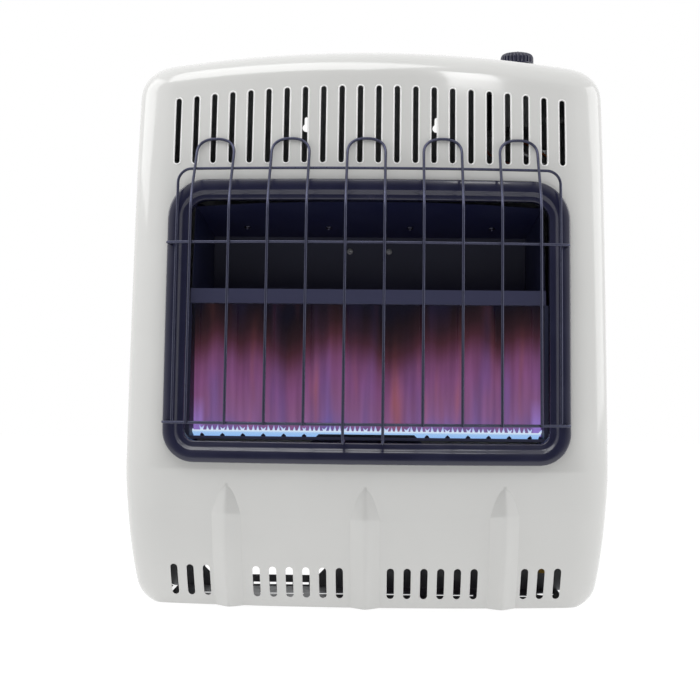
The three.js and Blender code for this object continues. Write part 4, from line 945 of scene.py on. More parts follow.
@dataclass
class Casing:
    """The front casing: one pressed and wrapped sheet with its slots, window and stem hole."""

    form: CasingForm
    sheet: float = 1 * MM
    column: float = 6.5 * MM
    rib_steps: int = 9
    rib_foot_steps: int = 6
    rib_foot_growth: float = 1.6
    least_reach: float = 2.5 * MM
    corner_steps: int = 9
    side_steps: int = 7
    shoulder_steps: int = 12
    foot_steps: int = 10
    bands: tuple[int, ...] = (18, 12, 6, 5, 36, 16)
    upper_count: int = 22
    upper_pitch: float = 22.905 * MM
    upper_width: float = 6.5 * MM
    upper_bottom: float = 552 * MM
    upper_top: float = 650 * MM
    upper_arch: float = 14.5 * MM
    lower_pitch: float = 20.5 * MM
    lower_width: float = 9 * MM
    lower_bottom: float = 13 * MM
    lower_top: float = 54 * MM
    lower_groups: tuple[tuple[float, int], ...] = (
        (-216.5 * MM, 3), (-82.5 * MM, 6), (82.5 * MM, 6), (216.5 * MM, 3))
    window_half: float = 236 * MM
    window_bottom: float = 195 * MM
    window_top: float = 518 * MM
    window_radius: float = 30 * MM
    round_steps: int = 8
    stem_place: Flat = (190.5 * MM, 75 * MM)
    stem_hole: float = 9 * MM
    stem_steps: int = 32
    lip_radius: float = 1.0 * MM
    lip_grown: float = 1.15 * MM
    lip_sunk: float = 0.35 * MM
    lip_steps: int = 7
    near: float = 30 * MM

    def front_columns(self, z: float) -> list[float]:
        """Returns the front's columns at a height; those beside the ribs follow the ribs' edges.

        Args:
            z: The height.

        Returns:
            Places across, from left to right, as many at every height.
        """
        form = self.form
        band = form.rib_half + form.rib_margin
        widen = min(max((z - form.rib_top) / (2 * form.rib_half), 0), 1)
        reach = max(form.rib_reach(z), self.least_reach)
        reach += (form.rib_half - self.least_reach) * widen * widen * (3 - 2 * widen)
        half = [reach * math.sin(math.pi / 2 * k / self.rib_steps) for k in range(self.rib_steps + 1)]
        half += [reach + (band - reach) * (k / self.rib_foot_steps) ** self.rib_foot_growth
                 for k in range(1, self.rib_foot_steps + 1)]
        rib = [-x for x in reversed(half[1:])] + half
        columns = [-form.corner_start]
        for place in (*form.rib_places, form.corner_start + band):
            low, high = columns[-1], place - band
            columns += between(low, high, math.ceil((high - low) / self.column))
            columns += [place + x for x in rib] if place < form.corner_start else [high]
        return columns

    def ring(self, half: float, front: float, z: float, lift: float, ribs: bool) -> np.ndarray:
        """Makes one ring of the casing, from its left rear edge round the front to its right rear edge.

        Args:
            half: Half width of the ring.
            front: Depth of its front on the middle line.
            z: Its height on the middle line.
            lift: How much higher it is at its ends.
            ribs: Whether the ribs stand out of it.

        Returns:
            An array of points.
        """
        form = self.form
        middle = [(x, front + form.bow(x) - (form.rib_relief(x, z) if ribs else 0))
                  for x in self.front_columns(z)]
        reach = half - form.corner_start
        right = []
        for step in range(1, self.corner_steps + 1):
            angle = step / self.corner_steps * math.pi / 2
            x = form.corner_start + reach * math.sin(angle)
            depth = reach * form.corner_depth / form.corner_width * (1 - math.cos(angle))
            right.append((x, front + form.bow(x) + depth))
        end = right[-1][1]
        right += [(half, y) for y in (*between(end, form.back, self.side_steps), form.back)]
        plan = [(-x, y) for x, y in reversed(right)] + middle + right
        return np.array([(x, y, z + lift * (x / form.half_width) ** 2) for x, y in plan])

    def heights(self) -> list[float]:
        """Returns the heights of the rings below the shoulder's rounding.

        Returns:
            The heights, from the foot up.
        """
        form = self.form
        start = form.foot_start
        curve = arc((0, 0), form.foot_radius, start, math.pi / 2 - start, self.foot_steps)
        heights = [form.foot_centre - drop for drop, _ in curve]
        marks = (form.foot_centre, form.crease, form.rib_top - form.rib_rise / 8, form.rib_top, form.belly,
                 form.crown_start, form.shoulder_z)
        for low, high, count in zip(marks, marks[1:], self.bands):
            heights += between(low, high, count) + [high]
        return heights

    def surface(self, inset: float) -> tuple[np.ndarray, np.ndarray]:
        """Makes the casing's face at a depth inside its outer one.

        Args:
            inset: The depth, 0 for the outer face.

        Returns:
            The wrapped front and sides, and the top.
        """
        form = self.form
        rows = [self.ring(form.wall(z, inset), form.belly_y + form.set_back(z) + inset, z, form.lift(z), True)
                for z in self.heights()]
        start = form.shoulder_start
        curve = arc((0, 0), form.shoulder - inset, start, math.pi / 2 - start, self.shoulder_steps)
        for out, up in curve[1:]:
            half = form.side(form.shoulder_foot) - form.shoulder + out
            rows.append(self.ring(half, form.shoulder_y - out, form.shoulder_foot + up, -form.crown, False))
        edge = rows[-1][self.side_steps:-self.side_steps]
        rear = edge.copy()
        rear[:, 1] = form.back
        shares = np.linspace(0, 1, self.side_steps + 1)[:, None, None]
        return np.array(rows), edge + (rear - edge) * shares

    def slots(self) -> list[tuple[float, float, float, float]]:
        """Lists the slots, the upper row first.

        Returns:
            Each slot's place across, lowest and highest point, and width.
        """
        middle = (self.upper_count - 1) / 2
        slots = []
        for i in range(self.upper_count):
            top = self.upper_top - self.upper_arch * ((i - middle) / middle) ** 2
            slots.append(((i - middle) * self.upper_pitch, self.upper_bottom, top, self.upper_width))
        for place, count in self.lower_groups:
            slots += [(place + (i - (count - 1) / 2) * self.lower_pitch, self.lower_bottom, self.lower_top,
                       self.lower_width) for i in range(count)]
        return slots

    @staticmethod
    def pill(slot: tuple[float, float, float, float], grown: float, steps: int) -> list[Flat]:
        """Makes a round-ended slot's outline in X and Z.

        Args:
            slot: Its place across, lowest and highest point, and width.
            grown: How much larger the outline is than the slot, all round.
            steps: Steps in each of its round ends.

        Returns:
            The outline's points.
        """
        x, low, high, width = slot
        radius = width / 2 + grown
        top, bottom = high + grown - radius, low - grown + radius
        return arc((x, top), radius, 0.0, math.pi, steps) + arc((x, bottom), radius, math.pi, math.pi, steps)

    @staticmethod
    def punch(made: bmesh.types.BMesh, outline: Sequence[Place], sweep: Place) -> None:
        """Adds a solid to the cutter.

        Args:
            made: The cutter in the making.
            outline: The solid's first face.
            sweep: How far and where that face is swept.
        """
        face = made.faces.new([made.verts.new(point) for point in outline])
        swept = bmesh.ops.extrude_face_region(made, geom=[face])["geom"]
        moved = [part for part in swept if isinstance(part, bmesh.types.BMVert)]
        bmesh.ops.translate(made, vec=sweep, verts=moved)

    def cutter(self) -> Piece:
        """Makes one object of all that is punched out of the sheet.

        Returns:
            The cutter.
        """
        form = self.form
        made = bmesh.new()
        near = form.belly_y - self.near
        arcs = corner_arcs(self.window_half, self.window_bottom, self.window_top,
                           (self.window_radius, self.window_radius), self.round_steps)
        outlines = [self.pill(slot, 0.0, self.round_steps) for slot in self.slots()] + [sum(arcs, [])]
        for outline in outlines:
            self.punch(made, [(x, near, z) for x, z in outline], (0, form.shoulder_y - near, 0))
        ring = arc(self.stem_place, self.stem_hole, 0.0, 2 * math.pi, self.stem_steps)[:-1]
        self.punch(made, [(x, y, form.shoulder_foot) for x, y in ring], (0, 0, 2 * form.shoulder))
        bmesh.ops.recalc_face_normals(made, faces=made.faces)
        return new_piece("casing_cutter", mesh_from(made, "casing_cutter"))

    def build(self) -> None:
        """Builds and dresses the casing."""
        outer, outer_top = self.surface(0)
        inner, inner_top = self.surface(self.sheet)
        faces = [outer, outer_top, inner, inner_top]
        rims = [np.array([a, b]) for a, b in (
            (outer[0], inner[0]), (outer[:, 0], inner[:, 0]), (outer[:, -1], inner[:, -1]),
            (outer_top[-1], inner_top[-1]))]
        finish = FINISHES["white_enamel"]
        casing = new_piece("casing_shell", from_grids("casing_shell", faces + rims), finish.material())
        cutter = self.cutter()
        modifier = casing.modifiers.new("punch", "BOOLEAN")
        modifier.object = cutter
        modifier.solver = "EXACT"
        plain_result(casing)
        bpy.data.objects.remove(cutter)
        whole = new_piece("casing_faces", from_grids("casing_faces", faces, False))
        self.follow_normals(casing.data, whole.data)
        self.lips(whole)
        bpy.data.objects.remove(whole)
        settle(casing, ["front_casing"])

    @staticmethod
    def follow_normals(cut: Mesh, whole: Mesh) -> None:
        """Gives a punched sheet the smooth normals of the whole one, so that no hole dents its shading.

        Args:
            cut: The punched sheet.
            whole: Its faces before punching.
        """
        merged = bmesh.new()
        merged.from_mesh(whole)
        bmesh.ops.remove_doubles(merged, verts=merged.verts, dist=SAME_POINT)
        merged.normal_update()
        tree = BVHTree.FromBMesh(merged)
        merged.faces.ensure_lookup_table()
        normals = [Vector((0, 0, 1))] * len(cut.loops)
        for polygon in cut.polygons:
            for loop in polygon.loop_indices:
                point = cut.vertices[cut.loops[loop].vertex_index].co
                place, _, index, distance = tree.find_nearest(point)
                corners = merged.faces[index].verts
                weights = [1 / ((corner.co - place).length + SAME_POINT) for corner in corners]
                smooth = sum((corner.normal * w for corner, w in zip(corners, weights)), Vector())
                smooth.normalize()
                if smooth.dot(polygon.normal) < 0:
                    smooth.negate()
                near = distance < 5 * SAME_POINT and smooth.dot(polygon.normal) > 0.8
                normals[loop] = smooth if near else polygon.normal.copy()
        merged.free()
        cut.polygons.foreach_set("use_smooth", [True] * len(cut.polygons))
        cut.normals_split_custom_set(normals)

    def lips(self, sheet: Piece) -> None:
        """Rolls a fine lip round each upper slot, laid onto the sheet.

        Args:
            sheet: The casing's faces before punching.
        """
        near = self.form.belly_y - self.near
        routes = [[(x, near, z) for x, z in self.pill(slot, self.lip_grown, self.lip_steps)]
                  for slot in self.slots()[:self.upper_count]]
        piece = new_piece("casing_slot_lips", routes_mesh("casing_slot_lips", routes, True))
        # The lips wear the whiter enamel: a painted highlight on each slot's rim
        run_tree(piece, WIRE_TREE, {
            "Wire radius": self.lip_radius, "Sides": 6, "Sheet": sheet, "Sunk": self.lip_sunk,
            "Finish": RIM_PAINTED_HIGHLIGHT.material()})
        settle(piece)


@dataclass
class Bezel:
    """The window bezel: a deep navy frame, rolled at its rim, stepped inside, with an inward return."""

    form: CasingForm
    half: float = 249 * MM
    bottom: float = 182 * MM
    top: float = 531 * MM
    top_radius: float = 48 * MM
    bottom_radius: float = 39 * MM
    corner_steps: int = 14
    span: float = 12 * MM
    section: tuple[Flat, ...] = (
        (0, 0.3), (0.1, 4.5), (0.4, 7.2), (1.2, 8.5), (2.6, 9.0), (8, 9.1), (14, 9.0), (15.6, 8.4),
        (17.0, 7.0), (18.4, 5.8), (20.4, 5.3), (24.9, 5.0), (25.7, 4.6), (26, 3.6), (25.9, 1.5),
        (24.7, -24), (23.8, -24), (24.9, 0.8), (14, 4), (1.8, 0.3), (0, 0.3))

    def loop(self) -> list[Flat]:
        """Makes the frame's outer edge in X and Z.

        Returns:
            Points round the edge, the first one again at the end.
        """
        arcs = corner_arcs(self.half, self.bottom, self.top, (self.top_radius, self.bottom_radius),
                           self.corner_steps)
        points = []
        for corner, following in zip(arcs, arcs[1:] + arcs[:1]):
            (x0, z0), (x1, z1) = corner[-1], following[0]
            count = round(math.dist((x0, z0), (x1, z1)) / self.span)
            points += corner + list(zip(between(x0, x1, count), between(z0, z1, count)))
        return points + points[:1]

    def inward(self, base: list[Flat], inset: float) -> list[Flat]:
        """Moves the outer loop in, keeping its corners round.

        Args:
            base: The outer loop.
            inset: How far it moves in.

        Returns:
            The inner loop, point for point.
        """
        moved = []
        for x, z in base:
            radius = self.top_radius if z > (self.top + self.bottom) / 2 else self.bottom_radius
            centre_x = max(min(x, self.half - radius), radius - self.half)
            centre_z = max(min(z, self.top - self.top_radius), self.bottom + self.bottom_radius)
            away = Vector((x - centre_x, z - centre_z))
            if abs(x - centre_x) > 0 and abs(z - centre_z) > 0:
                away = away.normalized() * inset
            else:
                away = Vector([math.copysign(inset, way) if way else 0 for way in away])
            moved.append((x - away.x, z - away.y))
        return moved

    def build(self) -> None:
        """Builds and dresses the bezel."""
        base = self.loop()
        grid = [[(x, self.form.front(x, z) - proud * MM, z) for x, z in self.inward(base, inset * MM)]
                for inset, proud in self.section]
        mesh = from_grids("bezel_frame", [np.array(grid)])
        smooth_by_angle(mesh)
        piece = new_piece("bezel_frame", mesh, FINISHES["dark_enamel"].material())
        settle(piece, ["window_bezel"])


@dataclass
class Guard:
    """The wire guard: hoops in front, two cross wires behind them, and a frame wire near the casing."""

    form: CasingForm
    reach: float = 49.95 * MM
    wire: float = 3.5 * MM
    clearance: float = 0.3 * MM
    hoops: int = 5
    pitch: float = 94 * MM
    width: float = 47 * MM
    top: float = 582 * MM
    arch: float = 19 * MM
    squareness: float = 2.4
    bend: float = 488 * MM
    shift: float = 3 * MM
    foot: float = 210.05 * MM
    low: float = 232 * MM
    middle: float = 449 * MM
    frame_top: float = 543 * MM
    frame_radius: float = 17 * MM
    frame_proud: float = 16 * MM
    frame_steps: int = 14
    cross_half: float = 243 * MM
    bezel_proud: float = 9 * MM
    sides: int = 12

    def hoop_y(self, x: float, z: float) -> float:
        """Returns the depth of the hoops' axis, which leaves the guard's plane for the casing above the bend.

        Args:
            x: The place across.
            z: The height.

        Returns:
            The depth.
        """
        form = self.form
        slope = (form.set_back(self.bend) - form.set_back(self.low)) / (self.bend - self.low)
        plane = form.belly_y - self.reach + self.wire / 2 - form.bow(self.width / 2)
        line = plane + slope * (z - self.foot - self.wire) + form.bow(x)
        climb = min(max((z - self.bend) / (self.top - self.bend), 0), 1)
        share = climb * climb * (3 - 2 * climb)
        return line * (1 - share) + (form.front(x, z) - self.wire / 2 - 2 * self.clearance) * share

    def squared(self, share: float) -> float:
        """Returns a sine or cosine bent so that the arch is squarer than a half circle."""
        return math.copysign(abs(share) ** (2 / self.squareness), share)

    def hoop(self, centre: float, hooked: bool) -> list[Place]:
        """Returns the route of one hoop, up one leg, over the arch and down the other.

        Args:
            centre: Place of its middle.
            hooked: Whether its legs end in hooks on the bezel, or on the low wire.

        Returns:
            The route's points.
        """
        half = self.width / 2
        shoulder = self.top - self.arch
        foot = self.foot if hooked else self.low - self.wire / 2
        rises = [foot, *between(foot, self.bend, 4), self.bend, *between(self.bend, shoulder, 12)]
        plan = [(centre - half, z) for z in rises]
        plan += [(centre - half * self.squared(math.cos(a)), shoulder + self.arch * self.squared(math.sin(a)))
                 for a in np.linspace(0, math.pi, 33)]
        plan += [(centre + half, z) for z in reversed(rises)]
        route = [(x, self.hoop_y(x, z), z) for x, z in plan]
        if not hooked:
            return route
        hooks = []
        for x in (centre - half, centre + half):
            y = self.hoop_y(x, foot + self.wire)
            curve = [(x, y + self.wire * (1 - math.sin(a)), foot + self.wire * (1 - math.cos(a)))
                     for a in np.linspace(0, math.pi / 2, 6)]
            hooks.append([(x, self.form.front(x, foot) + self.bezel_proud, foot), *curve])
        return hooks[0] + route[1:-1] + hooks[1][::-1]

    def cross(self, z: float) -> list[Place]:
        """Returns the route of one cross wire, whose ends turn back to the bezel.

        Args:
            z: Its height.

        Returns:
            The route's points.
        """
        behind = self.wire + self.clearance
        radius = self.wire
        across = [(x, self.hoop_y(x, z) + behind, z)
                  for x in np.linspace(radius - self.cross_half, self.cross_half - radius, 41)]
        seat = self.form.front(self.cross_half, z) - self.bezel_proud - self.clearance
        bend_y = self.hoop_y(self.cross_half, z) + behind
        end = [(self.cross_half - radius * (1 - math.sin(a)), bend_y + radius * (1 - math.cos(a)), z)
               for a in np.linspace(0.25, math.pi / 2, 5)] + [(self.cross_half, seat, z)]
        return [(-x, y, height) for x, y, height in reversed(end)] + across + end

    def frame_route(self) -> list[Place]:
        """Returns the route of the frame wire.

        Returns:
            The route's points, up one side, along the top and down the other.
        """
        half = self.cross_half - 2 * self.wire
        foot = self.low - self.wire
        shoulder = self.frame_top - self.frame_radius
        inner = half - self.frame_radius
        right = [(half, z) for z in (foot, *between(foot, shoulder, self.frame_steps))]
        right += arc((inner, shoulder), self.frame_radius, 0.0, math.pi / 2, 8)
        right += [(x, self.frame_top) for x in (*between(inner, 0, self.frame_steps), 0)]
        plan = right + [(-x, z) for x, z in right[-2::-1]]
        return [(x, self.form.front(x, z) - self.frame_proud, z) for x, z in plan]

    def build(self) -> None:
        """Builds and dresses the wires."""
        centre = (self.hoops - 1) / 2
        hoops = [self.hoop((i - centre) * self.pitch - self.shift, i == centre) for i in range(self.hoops)]
        pieces = {
            "guard_hoops": (hoops, [f"guard_hoop_{i + 1}" for i in range(self.hoops)]),
            "guard_cross_wires": ([self.cross(self.low), self.cross(self.middle)],
                                  ["guard_low_wire", "guard_middle_wire"]),
            "guard_frame": ([self.frame_route()], ["guard_frame_wire"]),
        }
        for name, (routes, nodes) in pieces.items():
            piece = new_piece(name, routes_mesh(name, routes, False))
            run_tree(piece, WIRE_TREE, {"Wire radius": self.wire / 2, "Sides": self.sides,
                                        "Finish": FINISHES["guard_wire"].material()})
            smooth_by_angle(piece.data)
            settle(piece, nodes)


@dataclass
class ControlKnob:
    """The control knob: a fluted cap with a rounded edge and a raised pointer across its top."""

    radius: float = 21.7 * MM
    height: float = 16.5 * MM
    flutes: int = 26
    flute_depth: float = 1.5 * MM
    flute_span: Flat = (0.12, 0.75)
    pointer_half: float = 1.4 * MM
    pointer_rise: float = 0.35 * MM
    pointer_from: float = 0.88
    steps: int = 416
    profile: tuple[Flat, ...] = (
        (0.0, 0.0), (0.965, 0.0), (1.0, 0.03), (1.0, 0.1), (0.99, 0.14), (0.985, 0.5), (0.965, 0.62),
        (0.925, 0.72), (0.86, 0.8), (0.76, 0.865), (0.6, 0.915), (0.35, 0.945), (0.0, 0.955))

    def build(self) -> None:
        """Builds and dresses the knob."""
        low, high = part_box("control_knob")
        x, y = (low.x + high.x) / 2, (low.y + high.y) / 2
        grid = []
        for share, rise in self.profile:
            fluted = self.flute_span[0] < rise < self.flute_span[1]
            row = []
            for angle in np.linspace(0, 2 * math.pi, self.steps + 1):
                wave = (1 + math.cos(self.flutes * angle)) / 2
                radius = share * self.radius - (self.flute_depth * wave ** 2 if fluted else 0)
                px, py = radius * math.cos(angle), radius * math.sin(angle)
                top = rise * self.height
                if rise > self.pointer_from and py < 0:
                    top += self.pointer_rise * max(0.0, 1 - (abs(px) / self.pointer_half) ** 4)
                row.append((x + px, y + py, low.z + top))
            grid.append(row)
        mesh = from_grids("knob_cap", [np.array(grid)])
        smooth_by_angle(mesh, 35)
        piece = new_piece("knob_cap", mesh, FINISHES["knob_plastic"].material())
        settle(piece, ["control_knob"], CONTROL_BODY)


@dataclass
class ScrewHeads:
    """The screws that show: pan heads with a round sunk recess, in the firebox and on the casing's sides."""

    radius: float = 4 * MM
    height: float = 2.6 * MM
    sides: int = 24
    profile: tuple[Flat, ...] = (
        (0, 0), (1, 0), (1, 0.18), (0.97, 0.45), (0.85, 0.72), (0.66, 0.9), (0.46, 1), (0.3, 0.62), (0, 0.4))

    def head(self) -> Piece:
        """Makes one head that stands on the origin and points up."""
        return lathed("screw_head", [(self.radius * r, self.height * h) for r, h in self.profile], self.sides)

    def build(self) -> None:
        """Places a head on each screw node, turned as that screw is."""
        low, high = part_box("hot_air_deflector")
        slope = math.atan2(high.z - low.z, high.y - low.y)
        groups = (("deflector_screw", 4, "bright_screws"), ("firebox_screw", 2, "zinc_steel"),
                  ("casing_screw", 4, "zinc_steel"))
        for kind, count, slot in groups:
            nodes = [f"{kind}_{i}" for i in range(1, count + 1)]
            places, turns = [], []
            for node in nodes:
                low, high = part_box(node)
                middle = (low + high) / 2
                side = math.copysign(1, middle.x)
                turn, out = {
                    "deflector_screw": ((math.pi - slope, 0.0, 0.0), (0, -math.sin(slope), -math.cos(slope))),
                    "firebox_screw": ((math.pi / 2, 0.0, 0.0), (0, -1, 0)),
                    "casing_screw": ((0.0, side * math.pi / 2, 0.0), (side, 0, 0))}[kind]
                places.append(tuple(middle - Vector(out) * self.height / 2))
                turns.append(turn)
            piece = placed_copies(f"{kind}_heads", self.head(), FINISHES[slot].material(), places, turns,
                                  [(1, 1, 1)] * count)
            smooth_by_angle(piece.data, 40)
            settle(piece, nodes)


@dataclass
class Flames:
    """The lit burner: a blue body of flame on each port, its pointed tips, and the tall flames above.

    Attributes:
        half: Half the port strip's length.
        y: Depth of the ports.
        foot: Height where the flames start.
    """

    half: float
    y: float
    foot: float
    full_ports: int = 16
    bridge: float = 4.8 * MM
    end_gap: float = 2 * MM
    body_height: float = 9.5 * MM
    body_half_depth: float = 4.5 * MM
    body_sides: int = 24
    body_rings: tuple[Place, ...] = (
        (0, 0.0, 0.0), (0, 0.92, 0.7), (0.36, 0.97, 0.95), (0.62, 1.24, 1.0), (0.85, 1.24, 0.8),
        (1.0, 1.2028, 0.45), (1.0, 0.0, 0.0))
    squareness: Flat = (0.4, 0.7)
    fan: float = 1.03
    drift: float = -1.5 * MM
    tips_per_port: int = 5
    tip_radius: float = 1.8 * MM
    tip_height: float = 11 * MM
    tip_lean: float = 0.55
    tip_spread: float = 1.08
    tip_foot: float = 0.7
    tip_depth: float = 1.6
    tip_profile: tuple[Flat, ...] = (
        (0, 0), (0.9, 0), (1, 0.2), (0.8, 0.45), (0.45, 0.7), (0.18, 0.9), (0, 1))
    curtain_height: float = 176 * MM
    curtain_thickness: float = 5 * MM
    curtain_taper: float = 0.7
    curtain_wave: float = 1.5 * MM
    curtain_ripple: float = 19 * MM
    curtain_gap: float = 5 * MM
    curtain_spare: float = 2 * MM
    streak: float = 9 * MM
    seed: int = 7

    def ports(self) -> list[Flat]:
        """Returns where each port's flame starts and ends, half ones at both ends; they fan out a little.

        Returns:
            The places across.
        """
        pitch = 2 * self.half / (self.full_ports + 1)
        spans = []
        for i in range(self.full_ports + 2):
            end = (i - self.full_ports / 2) * pitch - self.bridge / 2
            start = end - pitch + self.bridge
            ends = max(start, self.end_gap - self.half), min(end, self.half - self.end_gap)
            spans.append(tuple(x * self.fan + self.drift for x in ends))
        return spans

    def tip(self) -> Piece:
        """Makes one pointed tip that stands on the origin."""
        profile = [(self.tip_radius * r, self.tip_height * h) for r, h in self.tip_profile]
        return lathed("flame_tip", profile, 8)

    def body(self) -> Piece:
        """Makes one port's flame, 2 units long, which is narrower at its foot than where it meets the next.

        Returns:
            The flame, on the origin.
        """
        section = []
        for angle in np.linspace(0, 2 * math.pi, self.body_sides + 1):
            ways = zip((math.cos(angle), math.sin(angle)), self.squareness)
            section.append([math.copysign(abs(way) ** power, way) for way, power in ways])
        grid = [[(half * across, self.body_half_depth * deep * along, rise * self.body_height)
                 for across, along in section] for rise, half, deep in self.body_rings]
        return new_piece("flame_body", from_grids("flame_body", [np.array(grid)]))

    def build(self) -> None:
        """Builds and dresses the flames."""
        blue = FlameFinish("blue_flame", self.foot, self.foot + self.body_height + self.tip_height, (
            (0.0, "#6E9CF0", 0.95), (0.16, "#9CC6FA", 1.0), (0.34, "#A9CEF8", 1.0), (0.46, "#E6F2FF", 1.0),
            (0.6, "#C2D2FA", 0.95), (0.8, "#A69BE0", 0.75), (1.0, "#8A72C0", 0.2))).material()
        spans = self.ports()
        places = [((start + end) / 2, self.y, self.foot) for start, end in spans]
        sizes = [((end - start) / 2, 1, 1) for start, end in spans]
        turns = [(0, 0, 0)] * len(spans)
        settle(placed_copies("flame_bodies", self.body(), blue, places, turns, sizes))
        settle(placed_copies("flame_tips", self.tip(), blue, *self.tips(spans)))
        self.curtain()

    def tips(self, spans: list[Flat]) -> tuple[list[Place], list[Place], list[Place]]:
        """Scatters the pointed tips; those at a port's ends lean outwards.

        Args:
            spans: Where each port starts and ends.

        Returns:
            The tips' places, turns and sizes.
        """
        chance = np.random.default_rng(self.seed)
        widest = max(end - start for start, end in spans)
        level = self.foot + self.body_height * self.tip_foot
        places, turns, sizes = [], [], []
        for start, end in spans:
            count = max(2, round(self.tips_per_port * (end - start) / widest))
            for k in range(count):
                share = 2 * k / (count - 1) - 1
                x = (start + end) / 2 + share * (end - start) / 2 * self.tip_spread
                places.append((x + chance.uniform(-0.5, 0.5) * MM, self.y, level))
                turns.append((0.0, self.tip_lean * share ** 3 + chance.uniform(-0.08, 0.08), 0.0))
                sizes.append((1.0, self.tip_depth, chance.uniform(0.7, 1.0)))
        return places, turns, sizes

    def curtain(self) -> None:
        """Builds the tall violet flames as one gently waving sheet of light."""
        violet = FlameFinish("violet_flame", self.foot, self.foot + self.curtain_height, (
            (0.0, "#7A64A4", 0.85), (0.15, "#885C8A", 0.85), (0.27, "#86567F", 0.85), (0.42, "#814E7A", 0.85),
            (0.54, "#744468", 0.85), (0.64, "#5B3247", 0.8), (0.71, "#46252F", 0.75), (0.8, "#2E1A20", 0.7),
            (0.91, "#1C1118", 0.6), (1.0, "#100C1C", 0.4)), self.streak, self.half)
        reach = self.half * self.fan + self.curtain_spare
        across, rise = np.meshgrid(np.linspace(-reach, reach, 169), np.linspace(0, 1, 15))
        middle = self.y + self.curtain_gap + self.curtain_wave * np.sin(across / self.curtain_ripple) * rise
        thick = self.curtain_thickness / 2 * (1 - self.curtain_taper * rise)
        up = self.foot + self.curtain_gap + rise * self.curtain_height
        near, far = (np.stack([across + self.drift, middle + side * thick, up], -1) for side in (-1, 1))
        rims = [np.array([near[i], far[i]]) for i in (0, -1)]
        rims += [np.array([near[:, i], far[:, i]]) for i in (0, -1)]
        mesh = from_grids("flame_curtain", [near, far, *rims])
        smooth_by_angle(mesh)
        settle(new_piece("flame_curtain", mesh, violet.material()))


@dataclass(frozen=True)
class Lamp:
    """One soft lamp.

    Attributes:
        name: The lamp's name.
        place: Where it is.
        aim: What it points at.
        size: Width and height of its face.
        power: Its power in watts.
    """

    name: str
    place: Place
    aim: Place
    size: Flat
    power: float

    def build(self) -> None:
        """Hangs the lamp."""
        data = bpy.data.lights.new(self.name, "AREA")
        data.shape = "RECTANGLE"
        data.size, data.size_y = self.size
        data.energy = self.power
        lamp = bpy.data.objects.new(self.name, data)
        lamp.location = self.place
        lamp.rotation_euler = (Vector(self.aim) - Vector(self.place)).to_track_quat("-Z", "Y").to_euler()
        bpy.context.scene.collection.objects.link(lamp)


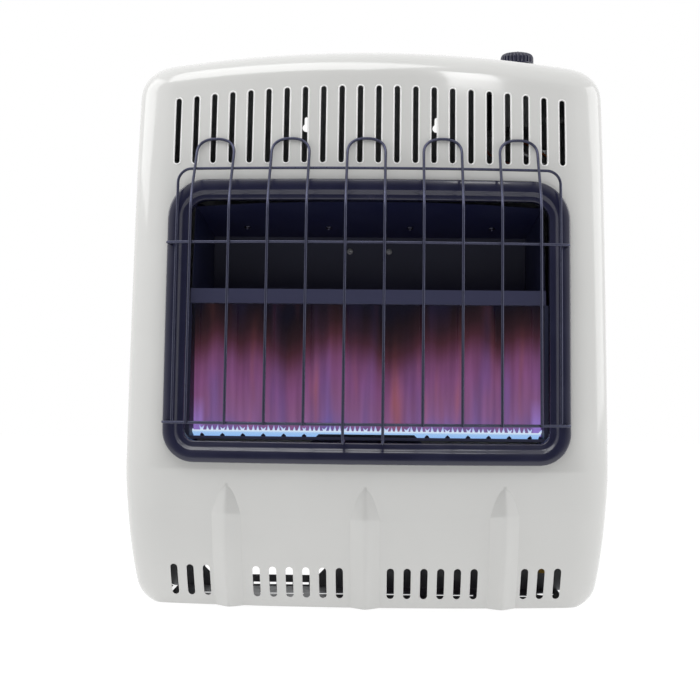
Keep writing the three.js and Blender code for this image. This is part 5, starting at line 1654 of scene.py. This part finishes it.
@dataclass
class Studio:
    """A plain pale floor, soft lamps, a white surround and the camera."""

    lens_pixels: float = 1562.0
    picture: float = 700.0
    sensor: float = 36.0
    camera_place: Place = (29.4 * MM, -1974 * MM, 308 * MM)
    yaw: float = math.radians(1.5)
    roll: float = math.radians(0.55)
    horizon: float = 360.0
    surround: float = 0.92
    surround_dark: float = 0.08
    dark_side: Place = (0.0, -0.97, 0.24)
    dark_span: Flat = (0.25, 0.95)
    front_span: Flat = (0.55, 0.95)
    front_dark: float = 0.05
    floor_size: float = 8.0
    floor_colour: str = "#F4F4F3"
    floor_glow: float = 1.13
    glow_shares: Flat = (0.65, 0.8)
    lamps: tuple[Lamp, ...] = (
        Lamp("overhead_lamp", (-0.5, -0.85, 2.3), (0, 0, 0.4), (1.6, 1.1), 16),
        Lamp("right_lamp", (1.8, 0.0, 1.0), (0, 0, 0.25), (1.0, 1.4), 7.5),
        Lamp("left_lamp", (-1.7, -0.15, 1.5), (0, 0, 0.3), (1.0, 1.2), 7.5),
        Lamp("softbox", (0.47, -1.2, 1.61), (0.13, -0.04, 0.66), (0.27, 0.37), 1.7))

    def camera(self) -> None:
        """Sets the camera where the photograph was taken from."""
        data = bpy.data.cameras.new("camera")
        data.sensor_width = self.sensor
        data.lens = self.lens_pixels / self.picture * self.sensor
        data.shift_y = (self.horizon - self.picture / 2) / self.picture
        camera = bpy.data.objects.new("camera", data)
        camera.location = self.camera_place
        camera.rotation_euler = (math.pi / 2, -self.roll, self.yaw)
        bpy.context.scene.collection.objects.link(camera)
        bpy.context.scene.camera = camera

    @staticmethod
    def ray_share(net: Net, *kinds: str) -> Socket:
        """Adds the nodes that tell some kinds of ray from the rest.

        Args:
            net: The tree.
            kinds: The kinds of ray.

        Returns:
            A value that is 1 for those kinds and 0 for the rest.
        """
        path = net.node("ShaderNodeLightPath").outputs
        share = path[kinds[0]]
        for kind in kinds[1:]:
            share = net.math("MAXIMUM", share, path[kind])
        return share

    def world(self) -> None:
        """Makes the surround: white behind the heater, darker in front of it, and softer where it lights."""
        world = bpy.data.worlds.new("surround")
        bpy.context.scene.world = world
        net = Net.of(world)
        direction = net.add("ShaderNodeTexCoord", "Generated")
        ahead = net.vector("DOT_PRODUCT", "Value", {0: direction, 1: (0, -1, 0)})
        mirrored = net.remap(ahead, *self.front_span, 1.0, self.front_dark, "SMOOTHSTEP")
        aside = net.vector("DOT_PRODUCT", "Value", {0: direction, 1: self.dark_side})
        around = net.remap(aside, *self.dark_span, self.surround, self.surround_dark)
        soft = net.blend(self.ray_share(net, "Is Glossy Ray", "Is Transmission Ray"), around, mirrored)
        strength = net.blend(self.ray_share(net, "Is Camera Ray"), soft, 1.0)
        background = net.add("ShaderNodeBackground", "Background", {"Color": WHITE, "Strength": strength})
        net.node("ShaderNodeOutputWorld", {"Surface": background})

    def floor(self) -> None:
        """Lays the pale floor, which keeps a soft shadow under the heater."""
        mesh = bpy.data.meshes.new("floor")
        half = self.floor_size / 2
        mesh.from_pydata([(-half, -half, 0), (half, -half, 0), (half, half, 0), (-half, half, 0)], [],
                         [(0, 1, 2, 3)])
        material = bpy.data.materials.new("pale_floor")
        net = Net.of(material)
        diffuse = net.add("ShaderNodeBsdfDiffuse", "BSDF", {"Color": linear(self.floor_colour)})
        glow = net.add("ShaderNodeEmission", "Emission", {"Color": WHITE, "Strength": self.floor_glow})
        seen = self.ray_share(net, "Is Camera Ray", "Is Glossy Ray", "Is Transmission Ray")
        share = net.remap(seen, 0.0, 1.0, *self.glow_shares)
        mixed = net.add("ShaderNodeMixShader", "Shader", {0: share, 1: diffuse, 2: glow})
        net.node("ShaderNodeOutputMaterial", {"Surface": mixed})
        new_piece("floor", mesh, material)

    def build(self) -> None:
        """Builds the studio."""
        bpy.context.scene.view_settings.view_transform = "Standard"
        self.camera()
        self.world()
        self.floor()
        for lamp in self.lamps:
            lamp.build()


def dress_nodes() -> None:
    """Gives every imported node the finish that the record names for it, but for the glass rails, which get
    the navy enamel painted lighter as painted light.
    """
    for name, node in frame["nodes"].items():
        # The glass rails take the navy enamel painted lighter: painted light for their recess
        finish = RAIL_PAINTED_LIGHT if name in RAILS else FINISHES[slot_of(name)]
        material = finish.material()
        node.data.materials.clear()
        node.data.materials.append(material)
        log.info("%s: %s", name, material.name)


def main() -> None:
    """Builds the studio and the pieces in order."""
    logging.basicConfig(level=logging.INFO, format="%(name)s: %(message)s")
    Studio().build()
    dress_nodes()
    low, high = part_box("front_casing")
    form = CasingForm(half_width=high.x, height=high.z, back=high.y)
    Casing(form).build()
    Bezel(form).build()
    Guard(form).build()
    ControlKnob().build()
    ScrewHeads().build()
    low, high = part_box("burner_port_strip")
    Flames(half=high.x, y=low.y + (high.y - low.y) / 4, foot=high.z + PORT_GAP).build()


if __name__ == "__main__":
    main()
